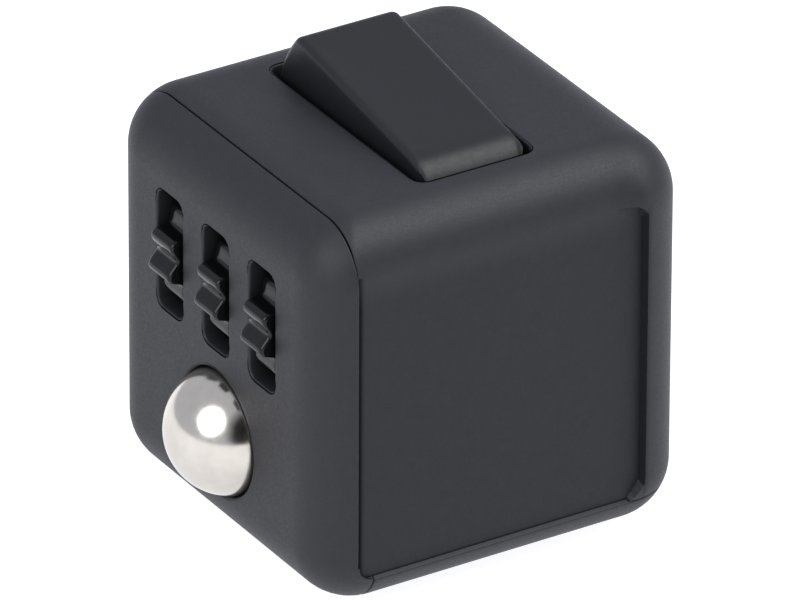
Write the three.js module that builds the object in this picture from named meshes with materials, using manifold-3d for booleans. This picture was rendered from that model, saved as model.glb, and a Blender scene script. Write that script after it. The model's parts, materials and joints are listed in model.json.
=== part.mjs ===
/**
 * Desk fidget cube: a hollow cube with a different finger control on each face.
 *
 * Millimetres, +Z up. The origin is the centre of the spin dial's flat underside, which the
 * cube stands on. The controls are:
 *   top (+Z)     rocker that flips between two tilts
 *   front (-Y)   three thumb wheels on one shaft, over a steel ball that rolls and clicks
 *   right (+X)   flat sunken thumb rest
 *   back (+Y)    five push buttons
 *   left (-X)    joystick on a gimbal
 *   bottom (-Z)  spin dial with an off-centre finger dimple
 *
 * Each control is drawn in its own face frame: z = 0 is the face's outer plane, +z points out.
 */
import * as THREE from 'three';
import { RoundedBoxGeometry } from 'three/addons/geometries/RoundedBoxGeometry.js';
import { mergeVertices } from 'three/addons/utils/BufferGeometryUtils.js';
import Module from 'manifold-3d';

// ---- Cube shell ----
const CUBE = 33; // edge length over the outer faces
const EDGE_R = 5; // rounding of the outer edges and corners
const WALL = 2; // wall thickness
const COVER_DEPTH = 3.1; // depth of the gear side cover and of the base cover
const FLANGE_DEPTH = 4.5; // reach of the gear side cover's lower flange
const SEAM = 0.1; // open seam between shell pieces
const RIM_T = 1.1; // thickness of a cover's locating rim
const RIM_REACH = 1.6; // how far a rim reaches past its seam
const RIM_FIT = 0.15; // clearance of a rim inside the main shell
const POCKET_DEPTH = 0.8; // depth of the thumb rest
const POCKET_SIDE = 4.45; // border left between the thumb rest and the back face
const POCKET_TOP = 4.4; // border left between the thumb rest and the top face
const POCKET_R = 1.2; // corner radius of the thumb rest

// ---- Shared fits ----
const RUNNING_FIT = 0.05; // radial clearance of a shaft or pin in its hole
const SLIDE_FIT = 0.15; // radial clearance of a sliding or sealing piece
const REST_GAP = 0.1; // gap between pieces that are clamped together
const OVERLAP = 0.1; // how far a boss is sunk into the wall that carries it

// ---- Screws ----
const SCREW_R = 0.55;
const SCREW_HEAD_R = 1.2;
const SCREW_HEAD_T = 1;
const BOSS_R = 1.55;
const BITE = 2; // length of thread in a boss

// ---- Rocker, top face ----
const ROCKER_X = 0.1; // the window's and pivot's place along the face
const ROCKER_R = 11.15; // radius of the rocker's ends about its pivot
const ROCKER_W = 9;
const ROCKER_SIDE_GAP = 0.7; // open gap along each side of the rocker
const WINDOW_CUT_IN = 0.15; // how far the window stops short of the rocker's widest reach
const WINDOW_R = 1;
const ROCKER_TOP = 6.4; // height of the rocker's top over its pivot
const ROCKER_PIVOT = 4; // depth of the pivot under the face
const ROCKER_TILT = THREE.MathUtils.degToRad(10.15);
const ROCKER_WALL = 1.4;
const ROCKER_PIN_R = 1;
const PLUNGER_R = 1.4;
const PLUNGER_REACH = 3.4; // from the pivot to the plunger's nose
const CRADLE_T = 1.6; // thickness of the cradle's ears and floor
const CRADLE_EAR_L = 6;
const CRADLE_SCREW_X = 7.5;

// ---- Thumb wheels, front face ----
const WHEEL_COUNT = 3;
const WHEEL_PITCH = 6.75;
const WHEEL_ROW_X = 0.1;
const WHEEL_Y = 5.1;
const WHEEL_R = 4.15; // tip radius
const WHEEL_WAVE = 0.85; // depth of the scalloped teeth
const WHEEL_TEETH = 9;
const WHEEL_PHASE = THREE.MathUtils.degToRad(26); // first tip, above the outward direction
const WHEEL_W = 3.2;
const WHEEL_EDGE = 0.35;
const WHEEL_PROUD = 1.1;
const SLOT_RAISE = 0.3; // how far a slot's middle is above its wheel's
const SLOT_END_GAP = 0.85; // from a wheel's tips to its slot's ends
const SLOT_SIDE_GAP = 0.25;
const SLOT_R = 0.8;
const SHAFT_R = 0.75;
const RIB_T = 2;
const RIB_L = 4.4;

// ---- Steel ball, front face ----
const BALL_X = 0.2;
const BALL_Y = -6.8;
const BALL_R = 5.2;
const BALL_SET_BACK = 1.3; // depth of the ball's centre under the face
const BALL_FIT = 0.1; // clearance of the ball in its seats
const CUP_WALL = 0.7; // wall behind and around the ball
const CUP_LIP = 2.3; // from the ball's centre to the cup's front edge
const GUIDE_T = 0.85;
const BALL_SPRING_L = 1.9;

// ---- Push buttons, back face ----
const BUTTON_PITCH = 6.2; // from the centre button to the others, along each axis
const BUTTON_R = 2.5;
const BUTTON_PROUD = 1.6;
const BUTTON_EDGE = 0.45;
const BUTTON_FLANGE = 0.6; // how much wider the flange is than the button
const BUTTON_FLANGE_T = 0.9;
const BUTTON_STEM_R = 0.8;
const BUTTON_STEM_L = 0.4;
const BUTTON_TRAVEL = 0.9;
const DOME_R = 2.2;
const DOME_T = 0.15;
const BUTTON_PLATE_T = 1.2;
const BUTTON_SCREW = 10.4; // from the centre to each screw
const BUTTON_PLATE_HALF = 12;

// ---- Joystick, left face ----
const STICK_PIVOT = 6; // depth of the gimbal's centre under the face
const STICK_R = 1.4;
const STICK_TOP = 3.4; // how far the stem stands out of the face
const STICK_DOME_R = 7.05;
const STICK_DOME_T = 0.8;
const STICK_DOME_ANGLE = THREE.MathUtils.degToRad(56);
const STICK_CAP_R = 3.9;
const STICK_CAP_T = 1.4;
const STICK_TAIL_R = 1.9;
const STICK_TAIL = 2.4; // reach of the tail behind the pivot
const STICK_TAIL_T = 0.5;
const GIMBAL_IN_R = 2;
const GIMBAL_OUT_R = 3.4;
const GIMBAL_T = 1.8;
const GIMBAL_PIN_R = 0.45;
const YOKE_IN = 4; // inner faces of the frame's two ears
const YOKE_T = 1.4;
const YOKE_W = 2.8;
const FRAME_BACK = 1.6; // from the pivot to the frame's plate
const FRAME_T = 1;
const FRAME_HOLE_R = 3.6;
const FRAME_SCREW = 7.2;
const STICK_SPRING_L = 2.5;

// ---- Spin dial, bottom face ----
const DIAL_R = 9.75;
const DIAL_PROUD = 1;
const DIAL_SUNK = 0.9;
const DIAL_FIT = 0.25; // gap around the dial's edge
const DIAL_EDGE = 0.35;
const DIAL_DIMPLE_X = 5.2;
const DIAL_DIMPLE_R = 3;
const DIAL_DIMPLE_DEPTH = 0.8;
const DIAL_POST_R = 1.8;
const DIAL_WASHER_R = 3.4;
const DIAL_WASHER_T = 0.5;

// ---- Worked out from the sizes above ----
const HALF = CUBE / 2;
const INNER = HALF - WALL;
const SEAM_PLANE = HALF - COVER_DEPTH;
const FLANGE_PLANE = HALF - FLANGE_DEPTH;
const RIM_PLANE = SEAM_PLANE - RIM_REACH;
const FAR = 2 * CUBE; // past everything, for cutters
const AXES = { x: [0, 0, -Math.PI / 2], y: [0, 0, 0], z: [Math.PI / 2, 0, 0] };
const CORNERS = [[1, 1], [-1, 1], [-1, -1], [1, -1]];
const SPOKES = [[1, 0], [0, 1], [-1, 0], [0, -1]];

// ---- Finishes ----
const FINISH = {
  shell: { color: 0x3c3d41, roughness: 0.62, metalness: 0 },
  rocker: { color: 0x2e2f32, roughness: 0.55, metalness: 0 },
  wheel: { color: 0x232427, roughness: 0.32, metalness: 0 },
  button: { color: 0x2c2d30, roughness: 0.45, metalness: 0 },
  rubber: { color: 0x1d1d1f, roughness: 0.85, metalness: 0 },
  inner: { color: 0x55585c, roughness: 0.6, metalness: 0 },
  chrome: { color: 0xd8dadd, roughness: 0.05, metalness: 1 },
  steel: { color: 0x9a9da1, roughness: 0.3, metalness: 1 },
};

const wasm = await Module();
wasm.setup();

// ---- Geometry helpers ----

/** A closed solid from a three.js geometry, with shared corners merged and slivers dropped. */
function solid(geometry) {
  const bare = new THREE.BufferGeometry();
  bare.setAttribute('position', geometry.attributes.position.clone());
  bare.setIndex(geometry.index);
  const merged = mergeVertices(bare, 1e-4);
  const corners = merged.index.array;
  const kept = [];
  for (let i = 0; i < corners.length; i += 3) {
    const [a, b, c] = [corners[i], corners[i + 1], corners[i + 2]];
    if (a !== b && b !== c && c !== a) kept.push(a, b, c);
  }
  return new wasm.Manifold(new wasm.Mesh({
    numProp: 3,
    vertProperties: new Float32Array(merged.attributes.position.array),
    triVerts: new Uint32Array(kept),
  }));
}

/** The three.js geometry of a solid. */
function geometryOf(body) {
  const mesh = body.getMesh();
  const geometry = new THREE.BufferGeometry();
  geometry.setAttribute('position', new THREE.BufferAttribute(mesh.vertProperties, 3));
  geometry.setIndex(new THREE.BufferAttribute(mesh.triVerts, 1));
  geometry.computeVertexNormals();
  return geometry;
}

/** Box between two limits on each axis. */
function block([x0, x1], [y0, y1], [z0, z1]) {
  const geometry = new THREE.BoxGeometry(x1 - x0, y1 - y0, z1 - z0);
  return geometry.translate((x0 + x1) / 2, (y0 + y1) / 2, (z0 + z1) / 2);
}

/** Cylinder along an axis between two limits, through the point `at`. */
function rod(axis, radius, [from, to], at = [0, 0, 0], sides = 20) {
  const geometry = new THREE.CylinderGeometry(radius, radius, to - from, sides);
  geometry.rotateX(AXES[axis][0]).rotateZ(AXES[axis][2]).translate(...at);
  const middle = (from + to) / 2;
  return geometry.translate(axis === 'x' ? middle : 0, axis === 'y' ? middle : 0, axis === 'z' ? middle : 0);
}

/** Sphere with its poles on the face's normal. */
function globe(radius, at, rings = 12) {
  return new THREE.SphereGeometry(radius, 2 * rings, rings).rotateX(Math.PI / 2).translate(...at);
}

/** Solid of revolution about z, from [radius, z] points that start low on the axis. */
function turned(points, sides = 24) {
  const profile = points.map(([r, z]) => new THREE.Vector2(r, z));
  return new THREE.LatheGeometry(profile, sides).rotateX(Math.PI / 2);
}

/** Flat ring about z. */
function ring(outer, inner, limits, sides) {
  return solid(rod('z', outer, limits, [0, 0, 0], sides))
    .subtract(solid(rod('z', inner, [-FAR, FAR], [0, 0, 0], sides)));
}

/** Rounded rectangle outline, centred on (x, y). */
function roundedRect(x, y, width, height, radius) {
  const [w, h] = [width / 2, height / 2];
  const shape = new THREE.Shape();
  shape.absarc(x + w - radius, y + h - radius, radius, 0, Math.PI / 2);
  shape.absarc(x - w + radius, y + h - radius, radius, Math.PI / 2, Math.PI);
  shape.absarc(x - w + radius, y - h + radius, radius, Math.PI, 1.5 * Math.PI);
  shape.absarc(x + w - radius, y - h + radius, radius, 1.5 * Math.PI, 2 * Math.PI);
  return shape;
}

/** Straight extrusion of an outline between two heights. */
function extruded(shape, [from, to], curveSegments = 4) {
  const options = { depth: to - from, bevelEnabled: false, curveSegments };
  return new THREE.ExtrudeGeometry(shape, options).translate(0, 0, from);
}

/** Centre line of a coil spring about z, with a radius that may change along it. */
class Coil extends THREE.Curve {
  constructor(bottomR, topR, bottom, top, turns) {
    super();
    Object.assign(this, { bottomR, topR, bottom, top, turns });
  }

  getPoint(t, target = new THREE.Vector3()) {
    const radius = THREE.MathUtils.lerp(this.bottomR, this.topR, t);
    const angle = 2 * Math.PI * this.turns * t;
    const height = THREE.MathUtils.lerp(this.bottom, this.top, t);
    return target.set(radius * Math.cos(angle), radius * Math.sin(angle), height);
  }
}

/** Coil spring that fills the height between two seats. */
function spring(bottomR, topR, [bottom, top], turns, wireR) {
  const section = new THREE.Shape();
  section.absarc(0, 0, wireR, 0, 2 * Math.PI);
  const extrudePath = new Coil(bottomR, topR, bottom + wireR, top - wireR, turns);
  const options = { steps: Math.round(8 * turns), curveSegments: 3, bevelEnabled: false, extrudePath };
  return solid(new THREE.ExtrudeGeometry(section, options));
}

/** Join several solids. */
function joined(...bodies) {
  return bodies.reduce((sum, body) => sum.add(body));
}

/** Take several geometries away from a solid. */
function cutBy(body, geometries) {
  return geometries.reduce((left, geometry) => left.subtract(solid(geometry)), body);
}

/** A screw whose head's flat side is at `seat`, with its thread along +z. */
function screw(seat, length, [x, y]) {
  return joined(
    solid(rod('z', SCREW_HEAD_R, [seat - SCREW_HEAD_T, seat], [x, y, 0], 10)),
    solid(rod('z', SCREW_R, [seat - OVERLAP, seat + length], [x, y, 0], 8)),
  );
}

// ---- Face frames ----

const cube = new THREE.Group();
cube.position.z = HALF + DIAL_PROUD;

/** A group on one face, whose +z is the face's outward direction. */
function faceGroup(turnX, turnY) {
  const face = new THREE.Group();
  face.rotation.set(turnX, turnY, 0);
  face.translateZ(HALF);
  face.updateMatrix();
  cube.add(face);
  return face;
}

const top = faceGroup(0, 0);
const front = faceGroup(Math.PI / 2, 0);
const back = faceGroup(-Math.PI / 2, 0);
const left = faceGroup(0, -Math.PI / 2);
const right = faceGroup(0, Math.PI / 2);
const bottom = faceGroup(Math.PI, 0);

/** Add a named piece to a group. */
function piece(parent, name, body, finish) {
  const mesh = new THREE.Mesh(geometryOf(body), new THREE.MeshStandardMaterial(FINISH[finish]));
  mesh.name = name;
  parent.add(mesh);
}

/** Turn geometries drawn in a face frame into solids in the cube's frame. */
function onFace(face, geometries) {
  return geometries.map((geometry) => solid(geometry.applyMatrix4(face.matrix)));
}

/** Blind holes for screws in bosses whose ends are at `seat`. */
function pilotHoles(points, seat) {
  const limits = [seat - 1, seat + BITE + OVERLAP];
  return points.map(([x, y]) => rod('z', SCREW_R + RUNNING_FIT, limits, [x, y, 0], 8));
}

/** Bosses that reach from the wall in to `seat`. */
function bosses(points, seat) {
  return points.map(([x, y]) => rod('z', BOSS_R, [seat, OVERLAP - WALL], [x, y, 0], 16));
}

// ---- Rocker ----

const cradleBossSeat = -ROCKER_PIVOT - 0.5;
const cradleEarIn = ROCKER_W / 2 + 0.3;
const cradleEarOut = cradleEarIn + CRADLE_T;
const cradleScrewY = cradleEarOut + SCREW_HEAD_R;
const cradleScrews = CORNERS.map(([i, j]) => [ROCKER_X + i * CRADLE_SCREW_X, j * cradleScrewY]);
const cradleTabT = 1.3;

/** Side outline of the rocker: two ends that are arcs about the pivot, under a flat top. */
function rockerOutline() {
  const cornerAngle = Math.asin(ROCKER_TOP / ROCKER_R);
  const roundAngle = 0.11; // part of each end that the top corner's rounding takes up
  const roundX = 1.2; // part of the top that it takes up
  const footAngle = -0.04; // the ends reach just below the pivot
  const end = new THREE.ArcCurve(0, 0, ROCKER_R, footAngle, cornerAngle - roundAngle).getPoints(8);
  const cornerX = ROCKER_R * Math.cos(cornerAngle);
  const corner = new THREE.QuadraticBezierCurve(
    end.at(-1),
    new THREE.Vector2(cornerX, ROCKER_TOP),
    new THREE.Vector2(cornerX - roundX, ROCKER_TOP),
  ).getPoints(4);
  const rightSide = [...end.slice(0, -1), ...corner];
  const leftSide = rightSide.map(({ x, y }) => new THREE.Vector2(-x, y)).reverse();
  return new THREE.Shape([...rightSide, ...leftSide]);
}

/** The rocker's cap, hollow underneath, with a spring boss and two pin holes. */
function rockerBody() {
  const bevel = 0.5;
  const options = {
    depth: ROCKER_W - 2 * bevel,
    bevelThickness: bevel,
    bevelSize: bevel,
    bevelOffset: -bevel,
    bevelSegments: 2,
  };
  const cap = new THREE.ExtrudeGeometry(rockerOutline(), options);
  cap.translate(0, 0, bevel - ROCKER_W / 2).rotateX(Math.PI / 2);
  const innerW = ROCKER_W / 2 - ROCKER_WALL;
  const roof = ROCKER_TOP - ROCKER_WALL;
  const hollow = solid(rod('y', ROCKER_R - ROCKER_WALL, [-innerW, innerW], [0, 0, 0], 32))
    .intersect(solid(block([-FAR, FAR], [-FAR, FAR], [-FAR, roof])));
  const boss = solid(rod('z', PLUNGER_R + 0.9, [-1.5, roof + OVERLAP]));
  return cutBy(solid(cap).subtract(hollow).add(boss), [
    rod('z', PLUNGER_R + SLIDE_FIT, [-FAR, roof - 0.8]),
    rod('y', ROCKER_PIN_R + RUNNING_FIT, [innerW - OVERLAP, FAR]),
    rod('y', ROCKER_PIN_R + RUNNING_FIT, [-FAR, OVERLAP - innerW]),
  ]);
}

/** The bracket that carries the rocker's pins and the plunger's track. */
function cradleBody() {
  const floorTop = -ROCKER_PIVOT - PLUNGER_REACH + 0.3;
  const floorLow = floorTop - CRADLE_T - 0.6;
  const ends = [ROCKER_X - CRADLE_EAR_L / 2, ROCKER_X + CRADLE_EAR_L / 2];
  const reach = CRADLE_SCREW_X + BOSS_R;
  const tabs = [ROCKER_X - reach, ROCKER_X + reach];
  const tabTop = cradleBossSeat - REST_GAP;
  const parts = [solid(block(ends, [-cradleEarOut, cradleEarOut], [floorLow, floorTop]))];
  for (const side of [-1, 1]) {
    const across = (near, far) => [Math.min(side * near, side * far), Math.max(side * near, side * far)];
    parts.push(solid(block(ends, across(cradleEarIn, cradleEarOut), [floorLow, -WALL - 0.3])));
    const tabY = across(cradleEarIn, cradleScrewY + BOSS_R);
    parts.push(solid(block(tabs, tabY, [tabTop - cradleTabT, tabTop])));
  }
  const pivot = [ROCKER_X, 0, -ROCKER_PIVOT];
  const nearPlate = HALF + plateTop - BUTTON_PLATE_T - REST_GAP - SCREW_HEAD_T - SLIDE_FIT;
  return cutBy(joined(...parts), [
    block([-FAR, FAR], [nearPlate, FAR], [-FAR, FAR]),
    rod('y', PLUNGER_REACH + 0.2, [-PLUNGER_R - 0.3, PLUNGER_R + 0.3], pivot, 28),
    rod('y', ROCKER_PIN_R + RUNNING_FIT, [-FAR, FAR], pivot),
    ...cradleScrews.map(([x, y]) => rod('z', SCREW_R + SLIDE_FIT, [-FAR, FAR], [x, y, 0], 8)),
  ]);
}

function buildRocker() {
  const pivot = new THREE.Group();
  pivot.position.set(ROCKER_X, 0, -ROCKER_PIVOT);
  top.add(pivot);
  const tilted = new THREE.Group();
  tilted.rotation.y = ROCKER_TILT;
  pivot.add(tilted);
  piece(tilted, 'rocker', rockerBody(), 'rocker');
  const nose = PLUNGER_R - PLUNGER_REACH;
  const springSeat = nose + 1.8;
  const plunger = joined(
    solid(rod('z', PLUNGER_R, [nose, springSeat])),
    solid(globe(PLUNGER_R, [0, 0, nose], 8)),
  );
  piece(tilted, 'rocker_plunger', plunger, 'inner');
  const roof = ROCKER_TOP - ROCKER_WALL - 0.8;
  const wire = 0.2;
  const coilR = PLUNGER_R - wire;
  const seats = [springSeat + REST_GAP, roof - REST_GAP];
  piece(tilted, 'rocker_spring', spring(coilR, coilR, seats, 4, wire), 'steel');
  const pinIn = ROCKER_W / 2 - ROCKER_WALL;
  piece(pivot, 'rocker_pin_1', solid(rod('y', ROCKER_PIN_R, [pinIn, cradleEarOut])), 'steel');
  piece(pivot, 'rocker_pin_2', solid(rod('y', ROCKER_PIN_R, [-cradleEarOut, -pinIn])), 'steel');
  piece(top, 'rocker_cradle', cradleBody(), 'inner');
  const seat = cradleBossSeat - 2 * REST_GAP - cradleTabT;
  cradleScrews.forEach((at, i) => {
    piece(top, `cradle_screw_${i + 1}`, screw(seat, cradleTabT + BITE, at), 'steel');
  });
}

/** The window for the rocker, with an undercut that clears its round ends. */
function rockerCutters() {
  const long = 2 * (ROCKER_R - WINDOW_CUT_IN);
  const wide = ROCKER_W + 2 * ROCKER_SIDE_GAP;
  const window = roundedRect(ROCKER_X, 0, long, wide, WINDOW_R);
  const sweep = rod('y', ROCKER_R + 0.3, [-wide / 2, wide / 2], [ROCKER_X, 0, -ROCKER_PIVOT], 48);
  return [extruded(window, [-WALL - 1, 1]), sweep, ...pilotHoles(cradleScrews, cradleBossSeat)];
}

// ---- Thumb wheels ----

const wheelAxis = WHEEL_PROUD - WHEEL_R;
const wheelXs = Array.from({ length: WHEEL_COUNT }, (_, i) => {
  return WHEEL_ROW_X + (i - (WHEEL_COUNT - 1) / 2) * WHEEL_PITCH;
});

/** A thumb wheel: a scalloped disc with softened rims and a running bore. */
function wheelBody() {
  const steps = 4 * WHEEL_TEETH;
  const outline = Array.from({ length: steps }, (_, i) => {
    const angle = (2 * Math.PI * i) / steps;
    const radius = WHEEL_R - (WHEEL_WAVE / 2) * (1 - Math.cos(WHEEL_TEETH * angle));
    return new THREE.Vector2(radius * Math.cos(angle), radius * Math.sin(angle));
  });
  const options = {
    depth: WHEEL_W - 2 * WHEEL_EDGE,
    bevelThickness: WHEEL_EDGE,
    bevelSize: WHEEL_EDGE,
    bevelOffset: -WHEEL_EDGE,
    bevelSegments: 1,
  };
  const disc = new THREE.ExtrudeGeometry(new THREE.Shape(outline), options);
  disc.translate(0, 0, WHEEL_EDGE - WHEEL_W / 2);
  return cutBy(solid(disc), [rod('z', SHAFT_R + RUNNING_FIT, [-FAR, FAR], [0, 0, 0], 20)]);
}

function buildWheels() {
  wheelXs.forEach((x, i) => {
    const axle = new THREE.Group();
    axle.position.set(x, WHEEL_Y, wheelAxis);
    axle.rotation.set(0, Math.PI / 2, 0);
    front.add(axle);
    const turn = new THREE.Group();
    turn.rotation.z = Math.PI - WHEEL_PHASE;
    axle.add(turn);
    piece(turn, `thumb_wheel_${i + 1}`, wheelBody(), 'wheel');
  });
  const reach = (WHEEL_COUNT * WHEEL_PITCH + RIB_T) / 2;
  const span = [WHEEL_ROW_X - reach, WHEEL_ROW_X + reach];
  piece(front, 'wheel_shaft', solid(rod('x', SHAFT_R, span, [0, WHEEL_Y, wheelAxis], 20)), 'steel');
}

/** Ribs behind the cover's face that carry the wheel shaft. */
function wheelRibs() {
  const high = WHEEL_Y + RIB_L / 2;
  return Array.from({ length: WHEEL_COUNT + 1 }, (_, i) => {
    const x = WHEEL_ROW_X + (i - WHEEL_COUNT / 2) * WHEEL_PITCH;
    return block([x - RIB_T / 2, x + RIB_T / 2], [high - RIB_L, high], [wheelAxis - 1.6, OVERLAP - WALL]);
  });
}

function wheelCutters() {
  const wide = WHEEL_W + 2 * SLOT_SIDE_GAP;
  const long = 2 * (WHEEL_R + SLOT_END_GAP);
  const slots = wheelXs.map((x) => {
    return extruded(roundedRect(x, WHEEL_Y + SLOT_RAISE, wide, long, SLOT_R), [-WALL - 1, 1]);
  });
  const bore = rod('x', SHAFT_R + RUNNING_FIT, [-INNER, INNER], [0, WHEEL_Y, wheelAxis], 20);
  return [...slots, bore];
}

// ---- Steel ball ----

const ballAt = [BALL_X, BALL_Y, -BALL_SET_BACK];
const cupR = BALL_R + CUP_WALL;
const cupBack = -BALL_SET_BACK - BALL_R - BALL_FIT - CUP_WALL - 0.4;
const guideIn = cupR + SLIDE_FIT;
const guideOut = guideIn + GUIDE_T;
const guideBack = cupBack - BALL_SPRING_L - GUIDE_T;
const guideBossSeat = -WALL - 1.4;
const guideScrews = [-1, 1].map((side) => [BALL_X + side * (guideOut + BOSS_R), BALL_Y]);
const guideTabT = 1.2;

/** Cutter or solid about the ball's axis, along the face's normal. */
function aboutBall(radius, limits, sides = 32) {
  return rod('z', radius, limits, [BALL_X, BALL_Y, 0], sides);
}

/** The tube behind the cover that the ball's cup slides in, relieved beside the joystick and the wheels. */
function guideBody() {
  const tabTop = guideBossSeat - REST_GAP;
  const reach = guideOut + 2 * BOSS_R;
  const tabX = [BALL_X - reach, BALL_X + reach];
  const tabY = [BALL_Y - BOSS_R, BALL_Y + BOSS_R];
  const tab = block(tabX, tabY, [tabTop - guideTabT, tabTop]);
  const tube = solid(aboutBall(guideOut, [guideBack, -WALL - REST_GAP])).add(solid(tab));
  const besideFrame = STICK_PIVOT + FRAME_BACK + FRAME_T + REST_GAP + SCREW_HEAD_T + RUNNING_FIT;
  const frameEdge = FRAME_SCREW + BOSS_R + REST_GAP;
  return cutBy(tube, [
    aboutBall(guideIn, [guideBack + GUIDE_T, FAR]),
    block([-FAR, besideFrame - HALF], [-FAR, FAR], [-FAR, frameEdge - HALF]),
    rod('x', WHEEL_R + SLIDE_FIT, [-INNER, INNER], [0, WHEEL_Y, wheelAxis]),
    ...guideScrews.map(([x, y]) => rod('z', SCREW_R + SLIDE_FIT, [-FAR, FAR], [x, y, 0], 8)),
  ]);
}

function buildBall() {
  piece(front, 'steel_ball', solid(globe(BALL_R, ballAt)), 'chrome');
  const cup = solid(aboutBall(cupR, [cupBack, -BALL_SET_BACK - CUP_LIP]));
  piece(front, 'ball_cup', cutBy(cup, [globe(BALL_R + BALL_FIT, ballAt)]), 'inner');
  const axis = new THREE.Group();
  axis.position.set(BALL_X, BALL_Y, 0);
  front.add(axis);
  const seats = [guideBack + GUIDE_T + REST_GAP, cupBack - REST_GAP];
  piece(axis, 'ball_spring', spring(3.5, 3.5, seats, 2.5, 0.2), 'steel');
  piece(front, 'ball_guide', guideBody(), 'inner');
  guideScrews.forEach((at, i) => {
    const seat = guideBossSeat - 2 * REST_GAP - guideTabT;
    piece(front, `guide_screw_${i + 1}`, screw(seat, guideTabT + BITE, at), 'steel');
  });
}

/** The ball's seat in the cover, which narrows at the face so that the ball can't fall out. */
function ballCutters() {
  return [
    globe(BALL_R + BALL_FIT, ballAt),
    aboutBall(BALL_R + BALL_FIT, [-WALL - 1, -BALL_SET_BACK]),
    aboutBall(guideOut + 0.3, [-FAR / 2, -WALL]),
    ...pilotHoles(guideScrews, guideBossSeat),
  ];
}

// ---- Push buttons ----

const buttonsAt = [[0, 0], ...CORNERS.map(([i, j]) => [i * BUTTON_PITCH, j * BUTTON_PITCH])];
const buttonScrews = SPOKES.map(([i, j]) => [i * BUTTON_SCREW, j * BUTTON_SCREW]);
const flangeTop = -WALL - 0.2;
const stemEnd = flangeTop - BUTTON_FLANGE_T - BUTTON_STEM_L;
const plateTop = stemEnd - BUTTON_TRAVEL - 0.2;

/** A button: soft-edged cap, flange that stops it falling out, and a stem for the dome. */
function buttonBody() {
  const flangeR = BUTTON_R + BUTTON_FLANGE;
  const flangeLow = flangeTop - BUTTON_FLANGE_T;
  return solid(turned([
    [0, stemEnd],
    [BUTTON_STEM_R, stemEnd],
    [BUTTON_STEM_R, flangeLow],
    [flangeR, flangeLow],
    [flangeR, flangeTop],
    [BUTTON_R, flangeTop],
    [BUTTON_R, BUTTON_PROUD - BUTTON_EDGE],
    [BUTTON_R - 0.3 * BUTTON_EDGE, BUTTON_PROUD - 0.3 * BUTTON_EDGE],
    [BUTTON_R - BUTTON_EDGE, BUTTON_PROUD],
    [0, BUTTON_PROUD],
  ], 16));
}

/** A thin snap dome, open underneath, between the button's stem and the plate. */
function domeBody() {
  const low = plateTop + 0.05;
  const high = stemEnd - 0.05;
  const steps = 3;
  const arc = (radius, height) => Array.from({ length: steps + 1 }, (_, i) => {
    const t = i / steps;
    return [radius * (1 - t), low + height * Math.sin((Math.PI / 2) * t)];
  });
  const outside = arc(DOME_R, high - low);
  const inside = arc(DOME_R - 2 * DOME_T, high - low - DOME_T).reverse();
  return solid(turned([...inside, ...outside], 12));
}

function buildButtons() {
  buttonsAt.forEach(([x, y], i) => {
    const axis = new THREE.Group();
    axis.position.set(x, y, 0);
    back.add(axis);
    piece(axis, `button_${i + 1}`, buttonBody(), 'button');
    piece(axis, `snap_dome_${i + 1}`, domeBody(), 'steel');
  });
  const half = [-BUTTON_PLATE_HALF, BUTTON_PLATE_HALF];
  const plate = solid(block(half, half, [plateTop - BUTTON_PLATE_T, plateTop]));
  const holes = buttonScrews.map(([x, y]) => rod('z', SCREW_R + SLIDE_FIT, [-FAR, FAR], [x, y, 0], 8));
  piece(back, 'button_plate', cutBy(plate, holes), 'inner');
  const seat = plateTop - BUTTON_PLATE_T - REST_GAP;
  buttonScrews.forEach((at, i) => {
    piece(back, `plate_screw_${i + 1}`, screw(seat, BUTTON_PLATE_T + BITE, at), 'steel');
  });
}

function buttonCutters() {
  const holes = buttonsAt.map(([x, y]) => rod('z', BUTTON_R + SLIDE_FIT, [-WALL - 1, 1], [x, y, 0], 20));
  return [...holes, ...pilotHoles(buttonScrews, plateTop + REST_GAP)];
}

// ---- Joystick ----

const framePlane = -STICK_PIVOT - FRAME_BACK;
const frameScrews = CORNERS.map(([i, j]) => [i * FRAME_SCREW, j * FRAME_SCREW]);
const gimbalCentre = [0, 0, -STICK_PIVOT];

/** The stick: stem, sealing dome, two pivot pins along x, and a tail for the spring. */
function stickBody() {
  const centre = -STICK_PIVOT;
  const arc = (radius) => Array.from({ length: 6 }, (_, i) => {
    const angle = STICK_DOME_ANGLE * (1 - i / 5);
    return [radius * Math.sin(angle), centre + radius * Math.cos(angle)];
  });
  const dome = turned([...arc(STICK_DOME_R - STICK_DOME_T).reverse(), ...arc(STICK_DOME_R)], 24);
  const tail = centre - STICK_TAIL;
  return joined(
    solid(dome),
    solid(rod('z', STICK_R, [tail, STICK_TOP])),
    solid(rod('z', STICK_TAIL_R, [tail, tail + STICK_TAIL_T])),
    solid(rod('x', GIMBAL_PIN_R, [-GIMBAL_OUT_R + 0.1, GIMBAL_OUT_R - 0.1], gimbalCentre, 14)),
  );
}

/** The gimbal ring, with pin holes for the stick along x and its own pins along y. */
function gimbalBody() {
  const limits = [-STICK_PIVOT - GIMBAL_T / 2, GIMBAL_T / 2 - STICK_PIVOT];
  const pins = [-YOKE_IN - YOKE_T + 0.1, YOKE_IN + YOKE_T - 0.1];
  return ring(GIMBAL_OUT_R, GIMBAL_IN_R, limits, 20)
    .subtract(solid(rod('x', GIMBAL_PIN_R + RUNNING_FIT, [-FAR, FAR], gimbalCentre, 14)))
    .add(solid(rod('y', GIMBAL_PIN_R, [GIMBAL_OUT_R - 0.3, pins[1]], gimbalCentre, 14)))
    .add(solid(rod('y', GIMBAL_PIN_R, [pins[0], 0.3 - GIMBAL_OUT_R], gimbalCentre, 14)));
}

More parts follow.
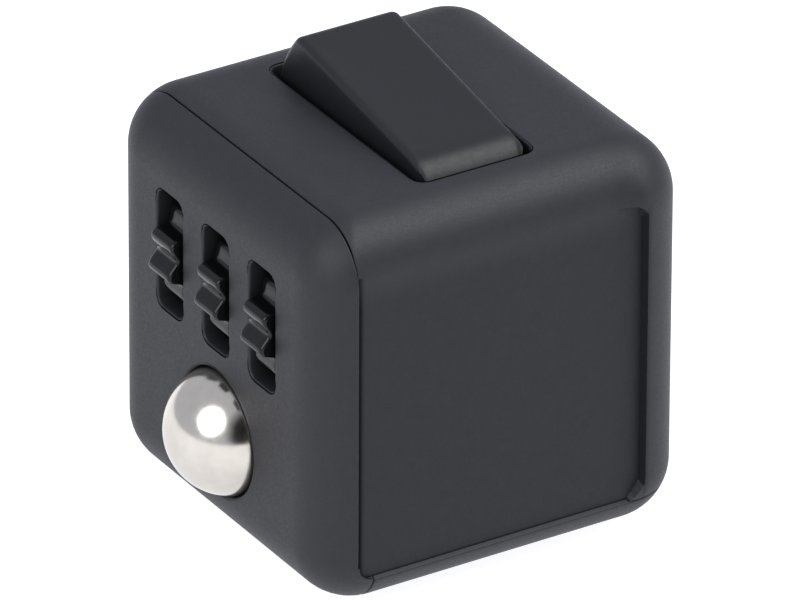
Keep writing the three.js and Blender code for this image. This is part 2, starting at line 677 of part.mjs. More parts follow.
/** The frame behind the gimbal: a plate with two ears, and a cup that holds the spring. */
function frameBody() {
  const half = [-FRAME_SCREW - BOSS_R, FRAME_SCREW + BOSS_R];
  const cupEnd = framePlane - FRAME_T - STICK_SPRING_L - FRAME_T;
  const ears = [-1, 1].map((side) => {
    const y = [side * YOKE_IN, side * (YOKE_IN + YOKE_T)].sort((a, b) => a - b);
    return solid(block([-YOKE_W / 2, YOKE_W / 2], y, [framePlane - OVERLAP, YOKE_W / 2 - STICK_PIVOT]));
  });
  const plate = solid(block(half, half, [framePlane - FRAME_T, framePlane]));
  const cup = solid(rod('z', FRAME_HOLE_R + FRAME_T, [cupEnd, framePlane - OVERLAP]));
  return cutBy(joined(plate, cup, ...ears), [
    rod('z', FRAME_HOLE_R, [cupEnd + FRAME_T, FAR]),
    rod('y', GIMBAL_PIN_R + RUNNING_FIT, [-FAR, FAR], gimbalCentre, 14),
    ...frameScrews.map(([x, y]) => rod('z', SCREW_R + SLIDE_FIT, [-FAR, FAR], [x, y, 0], 8)),
  ]);
}

/** The rubber cap, pushed over the end of the stem, with a dished top. */
function stickCapBody() {
  const low = STICK_TOP - STICK_CAP_T + 0.4;
  const high = low + STICK_CAP_T;
  const edge = 0.4;
  const cap = turned([
    [0, low],
    [STICK_CAP_R - edge, low],
    [STICK_CAP_R, low + edge],
    [STICK_CAP_R, high - edge],
    [STICK_CAP_R - edge, high],
    [0.5 * STICK_CAP_R, high - 0.25],
    [0, high - 0.35],
  ]);
  return cutBy(solid(cap), [rod('z', STICK_R + RUNNING_FIT, [-FAR, STICK_TOP + RUNNING_FIT])]);
}

function buildJoystick() {
  piece(left, 'joystick_stick', stickBody(), 'inner');
  piece(left, 'joystick_cap', stickCapBody(), 'rubber');
  piece(left, 'gimbal_ring', gimbalBody(), 'inner');
  piece(left, 'joystick_frame', frameBody(), 'inner');
  const bed = framePlane - FRAME_T - STICK_SPRING_L;
  const seats = [bed + REST_GAP, -STICK_PIVOT - STICK_TAIL - REST_GAP];
  piece(left, 'joystick_spring', spring(2.8, STICK_TAIL_R - 0.3, seats, 3, 0.25), 'steel');
  frameScrews.forEach((at, i) => {
    const seat = framePlane - FRAME_T - REST_GAP;
    piece(left, `frame_screw_${i + 1}`, screw(seat, FRAME_T + BITE, at), 'steel');
  });
}

function joystickCutters() {
  return [
    globe(STICK_DOME_R + SLIDE_FIT, gimbalCentre),
    ...pilotHoles(frameScrews, framePlane + REST_GAP),
  ];
}

// ---- Spin dial ----

const dialPostEnd = -WALL - DIAL_WASHER_T - 3 * REST_GAP;

/** The dial: a soft-edged disc with a dimple and a post that turns in the base. */
function dialBody() {
  const disc = solid(turned([
    [0, dialPostEnd],
    [DIAL_POST_R, dialPostEnd],
    [DIAL_POST_R, -DIAL_SUNK],
    [DIAL_R, -DIAL_SUNK],
    [DIAL_R, DIAL_PROUD - DIAL_EDGE],
    [DIAL_R - 0.3 * DIAL_EDGE, DIAL_PROUD - 0.3 * DIAL_EDGE],
    [DIAL_R - DIAL_EDGE, DIAL_PROUD],
    [0, DIAL_PROUD],
  ], 32));
  const bowlR = (DIAL_DIMPLE_R ** 2 + DIAL_DIMPLE_DEPTH ** 2) / (2 * DIAL_DIMPLE_DEPTH);
  const bowlZ = DIAL_PROUD - DIAL_DIMPLE_DEPTH + bowlR;
  return cutBy(disc, [
    globe(bowlR, [DIAL_DIMPLE_X, 0, bowlZ], 16),
    rod('z', SCREW_R + RUNNING_FIT, [-FAR, dialPostEnd + BITE + OVERLAP], [0, 0, 0], 10),
  ]);
}

function buildDial() {
  piece(bottom, 'spin_dial', dialBody(), 'button');
  const waveTop = -WALL - REST_GAP;
  const waveLimits = [waveTop - DIAL_WASHER_T, waveTop];
  piece(bottom, 'wave_washer', ring(DIAL_WASHER_R, DIAL_POST_R + SLIDE_FIT, waveLimits, 16), 'steel');
  const washerTop = dialPostEnd - REST_GAP;
  const washerLimits = [washerTop - DIAL_WASHER_T, washerTop];
  piece(bottom, 'dial_washer', ring(DIAL_WASHER_R, SCREW_R + SLIDE_FIT, washerLimits, 16), 'steel');
  const seat = washerTop - DIAL_WASHER_T - REST_GAP;
  piece(bottom, 'dial_screw', screw(seat, DIAL_WASHER_T + BITE, [0, 0]), 'steel');
}

/** The round recess that the dial sits in, and the hole for its post. */
function dialCutters() {
  return [
    rod('z', DIAL_R + DIAL_FIT, [-DIAL_SUNK - REST_GAP, FAR], [0, 0, 0], 32),
    rod('z', DIAL_POST_R + RUNNING_FIT, [-FAR / 4, 0]),
  ];
}

// ---- Shells ----

/** The flat thumb rest, open towards the two seams. */
function pocketCutter() {
  const high = [HALF - POCKET_TOP, HALF - POCKET_SIDE];
  const width = CUBE;
  const outline = roundedRect(-high[0] + width / 2, high[1] - width / 2, width, width, POCKET_R);
  return extruded(outline, [-POCKET_DEPTH, 1]);
}

/** The rounded cube's outside, as a solid block. */
function outside() {
  return solid(new RoundedBoxGeometry(CUBE, CUBE, CUBE, 3, EDGE_R));
}

/** The rounded hollow inside the walls, shrunk all round by `inset`. */
function cavity(inset = 0) {
  const size = 2 * (INNER - inset);
  return solid(new RoundedBoxGeometry(size, size, size, 2, EDGE_R - WALL - inset));
}

function mainShellBody() {
  const from = SEAM / 2 - SEAM_PLANE;
  const region = block([-FAR, FAR], [from, FAR], [from, FAR]);
  const posts = [
    ...onFace(top, bosses(cradleScrews, cradleBossSeat)),
    ...onFace(back, bosses(buttonScrews, plateTop + REST_GAP)),
    ...onFace(left, bosses(frameScrews, framePlane + REST_GAP)),
  ];
  const cutters = [
    ...onFace(top, rockerCutters()),
    ...onFace(back, buttonCutters()),
    ...onFace(left, joystickCutters()),
    ...onFace(right, [pocketCutter()]),
    ...onFace(front, [aboutBall(guideOut + 0.3, [guideBack - REST_GAP, -WALL])]),
  ];
  const shell = outside().intersect(solid(region)).subtract(cavity());
  return cutters.reduce((body, cutter) => body.subtract(cutter), joined(shell, ...posts));
}

/**
 * The front cover: the gear side's face and skirt, a flange under the body, and a rim.
 * The skirt is thick, and the rim carries its inner part on past the seam.
 */
function gearCoverBody() {
  const seam = -SEAM_PLANE - SEAM / 2;
  const side = INNER - RIM_FIT - RIM_T;
  const core = solid(block([-side, side], [-FAR, FAR], [-side, side]));
  const face = outside()
    .intersect(solid(block([-FAR, FAR], [-FAR, seam], [-FAR, FAR])))
    .subtract(cavity().intersect(core));
  const flange = outside()
    .intersect(solid(block([-FAR, FAR], [seam - OVERLAP, -FLANGE_PLANE - SEAM / 2], [-FAR, seam])))
    .subtract(cavity());
  const rim = cavity(RIM_FIT)
    .intersect(solid(block([-FAR, FAR], [seam - OVERLAP, -RIM_PLANE], [-FAR, FAR])))
    .subtract(core);
  const ribs = onFace(front, [...wheelRibs(), ...bosses(guideScrews, guideBossSeat)]);
  const cutters = onFace(front, [...wheelCutters(), ...ballCutters()]);
  return cutters.reduce((body, cutter) => body.subtract(cutter), joined(face, flange, rim, ...ribs));
}

/** The bottom cover: face, skirt on three sides, and a rim that goes all the way round. */
function baseCoverBody() {
  const seam = -SEAM_PLANE - SEAM / 2;
  const rimFront = 0.2 - RIM_PLANE; // clear of the front cover's rim
  const side = INNER - RIM_FIT - RIM_T;
  const core = solid(block([-side, side], [rimFront + RIM_T, side], [-FAR, FAR]));
  const ahead = solid(block([-FAR, FAR], [-FAR, rimFront], [-FAR, FAR]));
  const face = outside()
    .intersect(solid(block([-FAR, FAR], [SEAM / 2 - FLANGE_PLANE, FAR], [-FAR, seam])))
    .subtract(cavity().intersect(core.add(ahead)));
  const rim = cavity(RIM_FIT)
    .intersect(solid(block([-FAR, FAR], [rimFront, FAR], [seam - OVERLAP, -RIM_PLANE])))
    .subtract(core);
  const cutters = [
    ...onFace(bottom, dialCutters()),
    ...onFace(front, [aboutBall(guideOut + 0.3, [-FAR / 2, -WALL])]),
  ];
  return cutters.reduce((body, cutter) => body.subtract(cutter), joined(face, rim));
}

piece(cube, 'main_shell', mainShellBody(), 'shell');
piece(cube, 'gear_side_cover', gearCoverBody(), 'shell');
piece(cube, 'base_cover', baseCoverBody(), 'shell');
buildRocker();
buildWheels();
buildBall();
buildButtons();
buildJoystick();
buildDial();

const group = new THREE.Group();
group.add(cube);
group.updateMatrixWorld(true);

export default group;
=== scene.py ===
"""Desk fidget cube: smooth moulded shells, rocker, thumb wheels, steel ball, buttons, joystick and spin dial.

Lengths inside the classes are millimetres measured from the cube's centre, +Z up. Each sub-assembly
computes its surfaces as numpy grids, and `Surface.to_object` puts them in metres in the row frame.
"""

import json
import logging
import math
from collections.abc import Callable
from dataclasses import dataclass, field
from enum import Enum

import bpy
import numpy as np
from mathutils import Matrix, Vector


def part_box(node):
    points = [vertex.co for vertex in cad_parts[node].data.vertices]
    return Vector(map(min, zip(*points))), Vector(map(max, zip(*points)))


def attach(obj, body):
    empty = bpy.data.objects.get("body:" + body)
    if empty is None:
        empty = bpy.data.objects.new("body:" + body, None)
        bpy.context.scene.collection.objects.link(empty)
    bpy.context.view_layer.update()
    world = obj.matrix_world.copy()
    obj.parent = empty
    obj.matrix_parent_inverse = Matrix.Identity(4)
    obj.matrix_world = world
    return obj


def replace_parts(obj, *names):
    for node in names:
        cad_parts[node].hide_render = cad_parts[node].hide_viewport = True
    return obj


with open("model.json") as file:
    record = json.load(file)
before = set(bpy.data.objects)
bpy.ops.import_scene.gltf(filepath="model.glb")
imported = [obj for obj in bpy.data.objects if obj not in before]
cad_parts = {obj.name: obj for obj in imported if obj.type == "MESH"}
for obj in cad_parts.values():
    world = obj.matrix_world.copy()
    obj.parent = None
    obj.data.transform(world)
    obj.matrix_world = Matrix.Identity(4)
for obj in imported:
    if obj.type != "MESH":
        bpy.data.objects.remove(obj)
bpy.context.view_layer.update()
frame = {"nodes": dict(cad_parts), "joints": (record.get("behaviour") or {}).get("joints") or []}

LOG = logging.getLogger("fidget_cube")
MM = 0.001
X, Y, Z = np.eye(3)
Array = np.ndarray
Move = Callable[[Array], Array]
RIGHT_ANGLE = math.pi / 2


# ---- Places taken from the frame ----

def box_mm(node: str) -> tuple[Array, Array]:
    """Lowest and highest corner of a CAD node, in millimetres from the cube's centre."""
    low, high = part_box(node)
    return np.array(low) / MM - CENTRE, np.array(high) / MM - CENTRE


def joint_mm(name: str) -> Array:
    """A joint's place, in millimetres from the cube's centre."""
    joint = next(j for j in frame["joints"] if j["name"] == name)
    return np.array(joint["pos_m"]) / MM - CENTRE


def middle(node: str) -> Array:
    """Centre of a CAD node's box, in millimetres from the cube's centre."""
    return sum(box_mm(node)) / 2


SHELL_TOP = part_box("main_shell")[1].z / MM
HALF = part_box("main_shell")[1].x / MM
CENTRE = np.array([0.0, 0.0, SHELL_TOP - HALF])


# ---- Surfaces ----

def spaced(stops: list[float], step: float) -> Array:
    """Grid lines through every stop, with the spans between cut evenly to at most `step`.

    Args:
        stops: rising values that must be lines.
        step: widest space between two lines.

    Returns:
        The rising lines.
    """
    spans = [
        np.linspace(low, high, max(1, math.ceil((high - low) / step - 1e-9)) + 1)[:-1]
        for low, high in zip(stops, stops[1:])
    ]
    return np.concatenate([*spans, [stops[-1]]])


def point_keys(points: Array) -> Array:
    """One whole number for each point, alike where two points are within 0.0001 mm."""
    cells = np.round(points * 1e4).astype(np.int64) + 1_000_000
    return (cells[:, 0] << 42) | (cells[:, 1] << 21) | cells[:, 2]


def unit(vectors: Array) -> Array:
    """The vectors scaled to length 1."""
    return vectors / np.maximum(np.linalg.norm(vectors, axis=-1, keepdims=True), 1e-12)


def smooth_step(values: Array) -> Array:
    """0 below 0, 1 above 1, and 3t^2 - 2t^3 between."""
    t = np.clip(values, 0, 1)
    return t * t * (3 - 2 * t)


def unchanged(points: Array) -> Array:
    """The points as they are."""
    return points


def turned_about(points: Array, axis: Array, angle: float, through: Array) -> Array:
    """Points turned about an axis through a point, by the right-hand rule."""
    turn = np.array(Matrix.Rotation(angle, 3, Vector(axis)))
    return (points - through) @ turn.T + through


def columns(*parts: Array | float) -> Array:
    """The parts, stretched to one shape, side by side along a new last axis."""
    return np.stack(np.broadcast_arrays(*parts), axis=-1)


def quads(index: Array) -> Array:
    """The four-cornered faces between neighbouring rows and columns of point numbers."""
    return np.stack([index[:-1, :-1], index[:-1, 1:], index[1:, 1:], index[1:, :-1]], axis=-1)


class Surface:
    """Grids of points joined into one mesh of quads, some of them folded to triangles."""

    def __init__(self) -> None:
        """Start with no points."""
        self.points: list[Array] = []
        self.faces: list[Array] = []
        self.count = 0

    def add(self, points: Array, faces: Array) -> None:
        """Add loose points and the four-cornered faces between them."""
        self.points.append(points)
        self.faces.append(faces + self.count)
        self.count += len(points)

    def grid(
        self,
        points: Array,
        outward: Move,
        keep: Array | None = None,
        wrap: tuple[bool, bool] = (False, False),
    ) -> None:
        """Add a grid of points, with its faces turned to point outwards.

        Args:
            points: rows by columns by 3.
            outward: gives a vector on the outer side for each of a list of points.
            keep: which faces to keep, rows by columns.
            wrap: whether the last row joins the first, and the last column the first.
        """
        rows, columns = points.shape[:2]
        index = np.arange(rows * columns).reshape(rows, columns)
        if wrap[0]:
            index = np.vstack([index, index[:1]])
        if wrap[1]:
            index = np.hstack([index, index[:, :1]])
        faces = quads(index) if keep is None else quads(index)[keep]
        faces = faces.reshape(-1, 4)
        flat = points.reshape(-1, 3)
        a, b, c, d = (flat[faces[:, k]] for k in range(4))
        normals = np.cross(c - a, d - b)
        if np.sum(normals * outward((a + b + c + d) / 4)) < 0:
            faces = faces[:, ::-1]
        self.add(flat, faces)

    def merged(self) -> tuple[Array, Array]:
        """Points with doubles merged, and the faces between them that still have an area."""
        points, faces = np.concatenate(self.points), np.concatenate(self.faces)
        _, first, where = np.unique(point_keys(points), return_index=True, return_inverse=True)
        faces = where.reshape(-1)[faces]
        corners = (faces != np.roll(faces, -1, axis=1)).sum(axis=1)
        used, faces = np.unique(faces[corners >= 3], return_inverse=True)
        return points[first][used], faces.reshape(-1, 4)

    def to_object(self, name: str, finish: "Finish", body: str, smooth_deg: float = 38) -> bpy.types.Object:
        """Make the Blender object, in metres in the row frame, riding on a body.

        Args:
            name: the piece's name.
            finish: what it is dressed in.
            body: the CAD body that it moves with.
            smooth_deg: edges sharper than this angle stay sharp.

        Returns:
            The new object.
        """
        points, faces = self.merged()
        kept = faces != np.roll(faces, -1, axis=1)
        sizes = kept.sum(axis=1)
        loops = faces[kept]
        mesh = bpy.data.meshes.new(name)
        mesh.vertices.add(len(points))
        mesh.vertices.foreach_set("co", ((points + CENTRE) * MM).astype(np.float32).ravel())
        mesh.loops.add(len(loops))
        mesh.loops.foreach_set("vertex_index", loops.astype(np.int32))
        mesh.polygons.add(len(sizes))
        starts = np.concatenate([[0], np.cumsum(sizes)[:-1]])
        mesh.polygons.foreach_set("loop_start", starts.astype(np.int32))
        mesh.update(calc_edges=True)
        mesh.validate()
        mesh.shade_smooth()
        mesh.set_sharp_from_angle(angle=math.radians(smooth_deg))
        piece = bpy.data.objects.new(name, mesh)
        bpy.context.scene.collection.objects.link(piece)
        mesh.materials.append(finish.material())
        finish.slot
        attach(piece, body)
        LOG.info("%s: %d points, %d faces, on %s", name, len(points), len(sizes), body)
        return piece


def from_middle(centre: Array) -> Move:
    """An outward direction that points away from a centre."""
    return lambda points: points - centre


def lathe(
    surface: Surface,
    profile: Array,
    centre: Array,
    axis: Array,
    sides: int = 96,
    move: Move = unchanged,
) -> None:
    """Add a closed surface of revolution: each profile point (radius, height) is carried round the axis.

    Args:
        surface: what it is added to.
        profile: points that start and end on the axis or come back to the first, anticlockwise in
            the (radius, height) plane so that the body is on their left.
        centre: the point on the axis at height 0.
        axis: the unit direction of height.
        sides: how many columns.
        move: changes the finished points.
    """
    across = unit(np.cross(axis, X if abs(axis[0]) < 0.9 else Y))
    other = np.cross(axis, across)
    angles = np.linspace(0, 2 * math.pi, sides, endpoint=False)
    spoke = np.cos(angles)[:, None] * across + np.sin(angles)[:, None] * other
    points = move(profile[:, None, :1] * spoke[None] + profile[:, None, 1:] * axis + centre)
    rows = len(profile)
    index = np.arange(rows * sides).reshape(rows, sides)
    index = np.hstack([index, index[:, :1]])
    surface.add(points.reshape(-1, 3), quads(index).reshape(-1, 4))


def arc(
    centre: tuple[float, float], radius: float, start_deg: float, end_deg: float, steps: int = 6
) -> Array:
    """Points along an arc in a profile's (radius, height) plane."""
    angles = np.radians(np.linspace(start_deg, end_deg, steps + 1))
    return columns(centre[0] + radius * np.cos(angles), centre[1] + radius * np.sin(angles))


def profile_of(*stretches: Array | tuple[float, float]) -> Array:
    """A profile from single points and arcs, one after another."""
    return np.vstack([np.atleast_2d(np.array(stretch, float)) for stretch in stretches])


# ---- Finishes ----

def linear(colour: str) -> tuple[float, float, float, float]:
    """The linear colour of an sRGB hex value."""
    values = [int(colour[k:k + 2], 16) / 255 for k in (1, 3, 5)]
    return (*[v / 12.92 if v <= 0.04045 else ((v + 0.055) / 1.055) ** 2.4 for v in values], 1.0)


def empty_tree(owner: bpy.types.Material | bpy.types.World) -> bpy.types.NodeTree:
    """The owner's node tree with nothing in it."""
    owner.use_nodes = True
    owner.node_tree.nodes.clear()
    return owner.node_tree


def add_node(tree: bpy.types.NodeTree, kind: str, settings: dict | None = None, **sockets) -> bpy.types.Node:
    """Add a shader node.

    Args:
        tree: the material's node tree.
        kind: the node's type name, without the leading ShaderNode.
        settings: the node's own attributes.
        sockets: inputs by name, with _ for a space; a socket value makes a link, anything else is set.

    Returns:
        The node.
    """
    node = tree.nodes.new("ShaderNode" + kind)
    for name, value in (settings or {}).items():
        setattr(node, name, value)
    for name, value in sockets.items():
        key = int(name[1:]) if name[0] == "_" and name[1:].isdigit() else name.replace("_", " ")
        if isinstance(value, bpy.types.NodeSocket):
            tree.links.new(value, node.inputs[key])
        else:
            node.inputs[key].default_value = value
    return node


class Slot(Enum):
    """The record's material slots."""

    SHELL = "shell_plastic"
    ROCKER = "rocker_plastic"
    WHEEL = "wheel_plastic"
    BUTTON = "button_plastic"
    CAP = "cap_rubber"
    INNER = "inner_plastic"
    BALL = "ball_chrome"
    STEEL = "zinc_steel"


@dataclass(frozen=True)
class Finish:
    """A procedural finish: base colour with mottling, and a fine grain that also varies the gloss.

    Attributes:
        name: the material and the process.
        where: the record's slot.
        dark: sRGB colour of the mottling's dark patches.
        light: sRGB colour of its light patches.
        roughness: lowest and highest roughness.
        grain_mm: size of the grain.
        relief_mm: height of the grain.
        mottle_mm: size of the colour patches.
        metallic: 1 for a metal.
        ior: refractive index of a plastic.
        crease: how dark the painted shade in creases, seams and hollows goes, from the mesh's attribute of
            the same name.
    """

    name: str
    where: Slot
    dark: str
    light: str
    roughness: tuple[float, float]
    grain_mm: float
    relief_mm: float
    mottle_mm: float = 0.8
    metallic: float = 0.0
    ior: float = 1.5
    crease: float = 0.0

    @property
    def slot(self) -> str:
        """The name of the record's slot."""
        return self.where.value

    def material(self) -> bpy.types.Material:
        """The material, made the first time that it is asked for."""
        return bpy.data.materials.get(self.name) or self._make()

    def _make(self) -> bpy.types.Material:
        """Build the node tree."""
        made = bpy.data.materials.new(self.name)
        tree = empty_tree(made)
        place = add_node(tree, "TexCoord").outputs["Object"]
        patches = add_node(
            tree, "TexNoise", Vector=place, Scale=1 / (self.mottle_mm * MM), Detail=4.0, Roughness=0.6
        )
        grain = add_node(
            tree, "TexNoise", Vector=place, Scale=1 / (self.grain_mm * MM), Detail=3.0, Roughness=0.55
        )
        colours = add_node(
            tree, "Mix", {"data_type": "RGBA"}, _0=patches.outputs["Fac"],
            _6=linear(self.dark), _7=linear(self.light),
        ).outputs[2]
        # Painted shade: the mesh's attribute mixes the colour towards black where shade is painted into
        # creases, seams and hollows.
        if self.crease:
            depth = add_node(tree, "Attribute", {"attribute_name": "crease"}).outputs["Fac"]
            share = add_node(tree, "Math", {"operation": "MULTIPLY"}, _0=depth, _1=self.crease)
            specular_under_shade = add_node(tree, "MapRange", Value=share.outputs[0], To_Min=0.5, To_Max=0.0).outputs[0]
            colours = add_node(
                tree, "Mix", {"data_type": "RGBA"}, _0=share.outputs[0], _6=colours, _7=(0, 0, 0, 1),
            ).outputs[2]
        gloss = add_node(
            tree, "MapRange", Value=grain.outputs["Fac"], From_Min=0.3, From_Max=0.7,
            To_Min=self.roughness[0], To_Max=self.roughness[1],
        )
        relief = add_node(
            tree, "Bump", Height=grain.outputs["Fac"], Strength=1.0, Distance=self.relief_mm * MM
        )
        shader = add_node(
            tree, "BsdfPrincipled", Base_Color=colours, Roughness=gloss.outputs[0],
            Metallic=self.metallic, Normal=relief.outputs[0],
        )
        if not self.metallic:
            shader.inputs["IOR"].default_value = self.ior
        # The painted shade also takes the specular level down, so those places lose their reflection too.
        if self.crease:
            tree.links.new(specular_under_shade, shader.inputs["Specular IOR Level"])
        add_node(tree, "OutputMaterial", Surface=shader.outputs[0])
        return made


# Charcoal ABS from a spark-eroded mould: a fine matt grain that greys at a glancing angle.
# The last setting paints shade, up to 0.9 of the way to black, into the shells' creases, seams and insides.
SHELL_ABS = Finish(
    "spark_eroded_charcoal_abs", Slot.SHELL, "#18191c", "#222327", (0.48, 0.62), 0.15, 0.011,
    ior=1.4, crease=0.9,
)
# The rocker's mould is smoother, so it is darker and a little glossier than the shell.
ROCKER_ABS = Finish(
    "fine_matt_black_abs", Slot.ROCKER, "#141517", "#1a1b1e", (0.36, 0.48), 0.3, 0.004, ior=1.36
)
# Thumb wheels: polished black acetal, which shows small sharp glints.
WHEEL_ACETAL = Finish(
    "polished_black_acetal", Slot.WHEEL, "#070808", "#0c0d0e", (0.1, 0.17), 0.5, 0.001, ior=1.36
)
# Push buttons: satin black ABS.
BUTTON_ABS = Finish("satin_black_abs", Slot.BUTTON, "#17181a", "#1e1f22", (0.3, 0.42), 0.3, 0.004)
# Joystick cap: dusty matt silicone rubber.
CAP_RUBBER = Finish("matt_black_silicone_rubber", Slot.CAP, "#131314", "#1b1b1d", (0.75, 0.9), 0.2, 0.01)
# Hidden mechanism parts: plain dark acetal, with faint flow marks.
INNER_ACETAL = Finish("plain_dark_acetal", Slot.INNER, "#1c1d1f", "#26272a", (0.4, 0.5), 0.4, 0.003, 2.5)
# Ground and polished bearing steel: a near mirror with very fine polishing marks.
BALL_STEEL = Finish(
    "polished_bearing_steel", Slot.BALL, "#c0bbb1", "#d4d0c7", (0.14, 0.2), 0.6, 0.0002, 1.5, metallic=1.0
)
# Bright zinc on steel springs, screws, pins and washers: slightly cloudy.
ZINC_STEEL = Finish(
    "bright_zinc_on_steel", Slot.STEEL, "#84878b", "#a3a6aa", (0.22, 0.38), 0.15, 0.003, metallic=1.0
)


# ---- Rounded cube skins ----

@dataclass(frozen=True)
class Hole:
    """A rounded rectangular or round hole in a flat of the shell, drawn in the flat's own plane.

    Attributes:
        centre: its middle.
        half: half its width and height; both are the corner radius in a round hole.
        corner: its corner radius.
        cell: lowest and highest u, then v, of the block of grid lines that it takes the place of.
        edge: rounding of its rim.
        floor: profile from the rim inwards as (radius, depth) pairs, for a round recess.
    """

    centre: tuple[float, float]
    half: tuple[float, float]
    corner: float
    cell: tuple[float, float, float, float]
    edge: float
    floor: Array | None = None

    def distance(self, points: Array) -> Array:
        """Signed distance of points in the plane from the outline, negative inside the hole."""
        q = np.abs(points - np.array(self.centre)) - (np.array(self.half) - self.corner)
        outside = np.linalg.norm(np.maximum(q, 0), axis=-1)
        return outside + np.minimum(q.max(axis=-1), 0) - self.corner

    def outline(self, rim: Array, flatten: Move) -> Array:
        """The outline's points on the straight lines from the hole's middle to the rim's points.

        Args:
            rim: points round the cell.
            flatten: turns points of the sheet into points of the flat's plane.

        Returns:
            One outline point for each point of the rim, found by halving the line 40 times.
        """
        low, high = np.zeros(len(rim)), np.ones(len(rim))
        start = np.array(self.centre)
        for _ in range(40):
            half = (low + high) / 2
            inside = self.distance(flatten(start + half[:, None] * (rim - start))) < 0
            low, high = np.where(inside, half, low), np.where(inside, high, half)
        return start + high[:, None] * (rim - start)


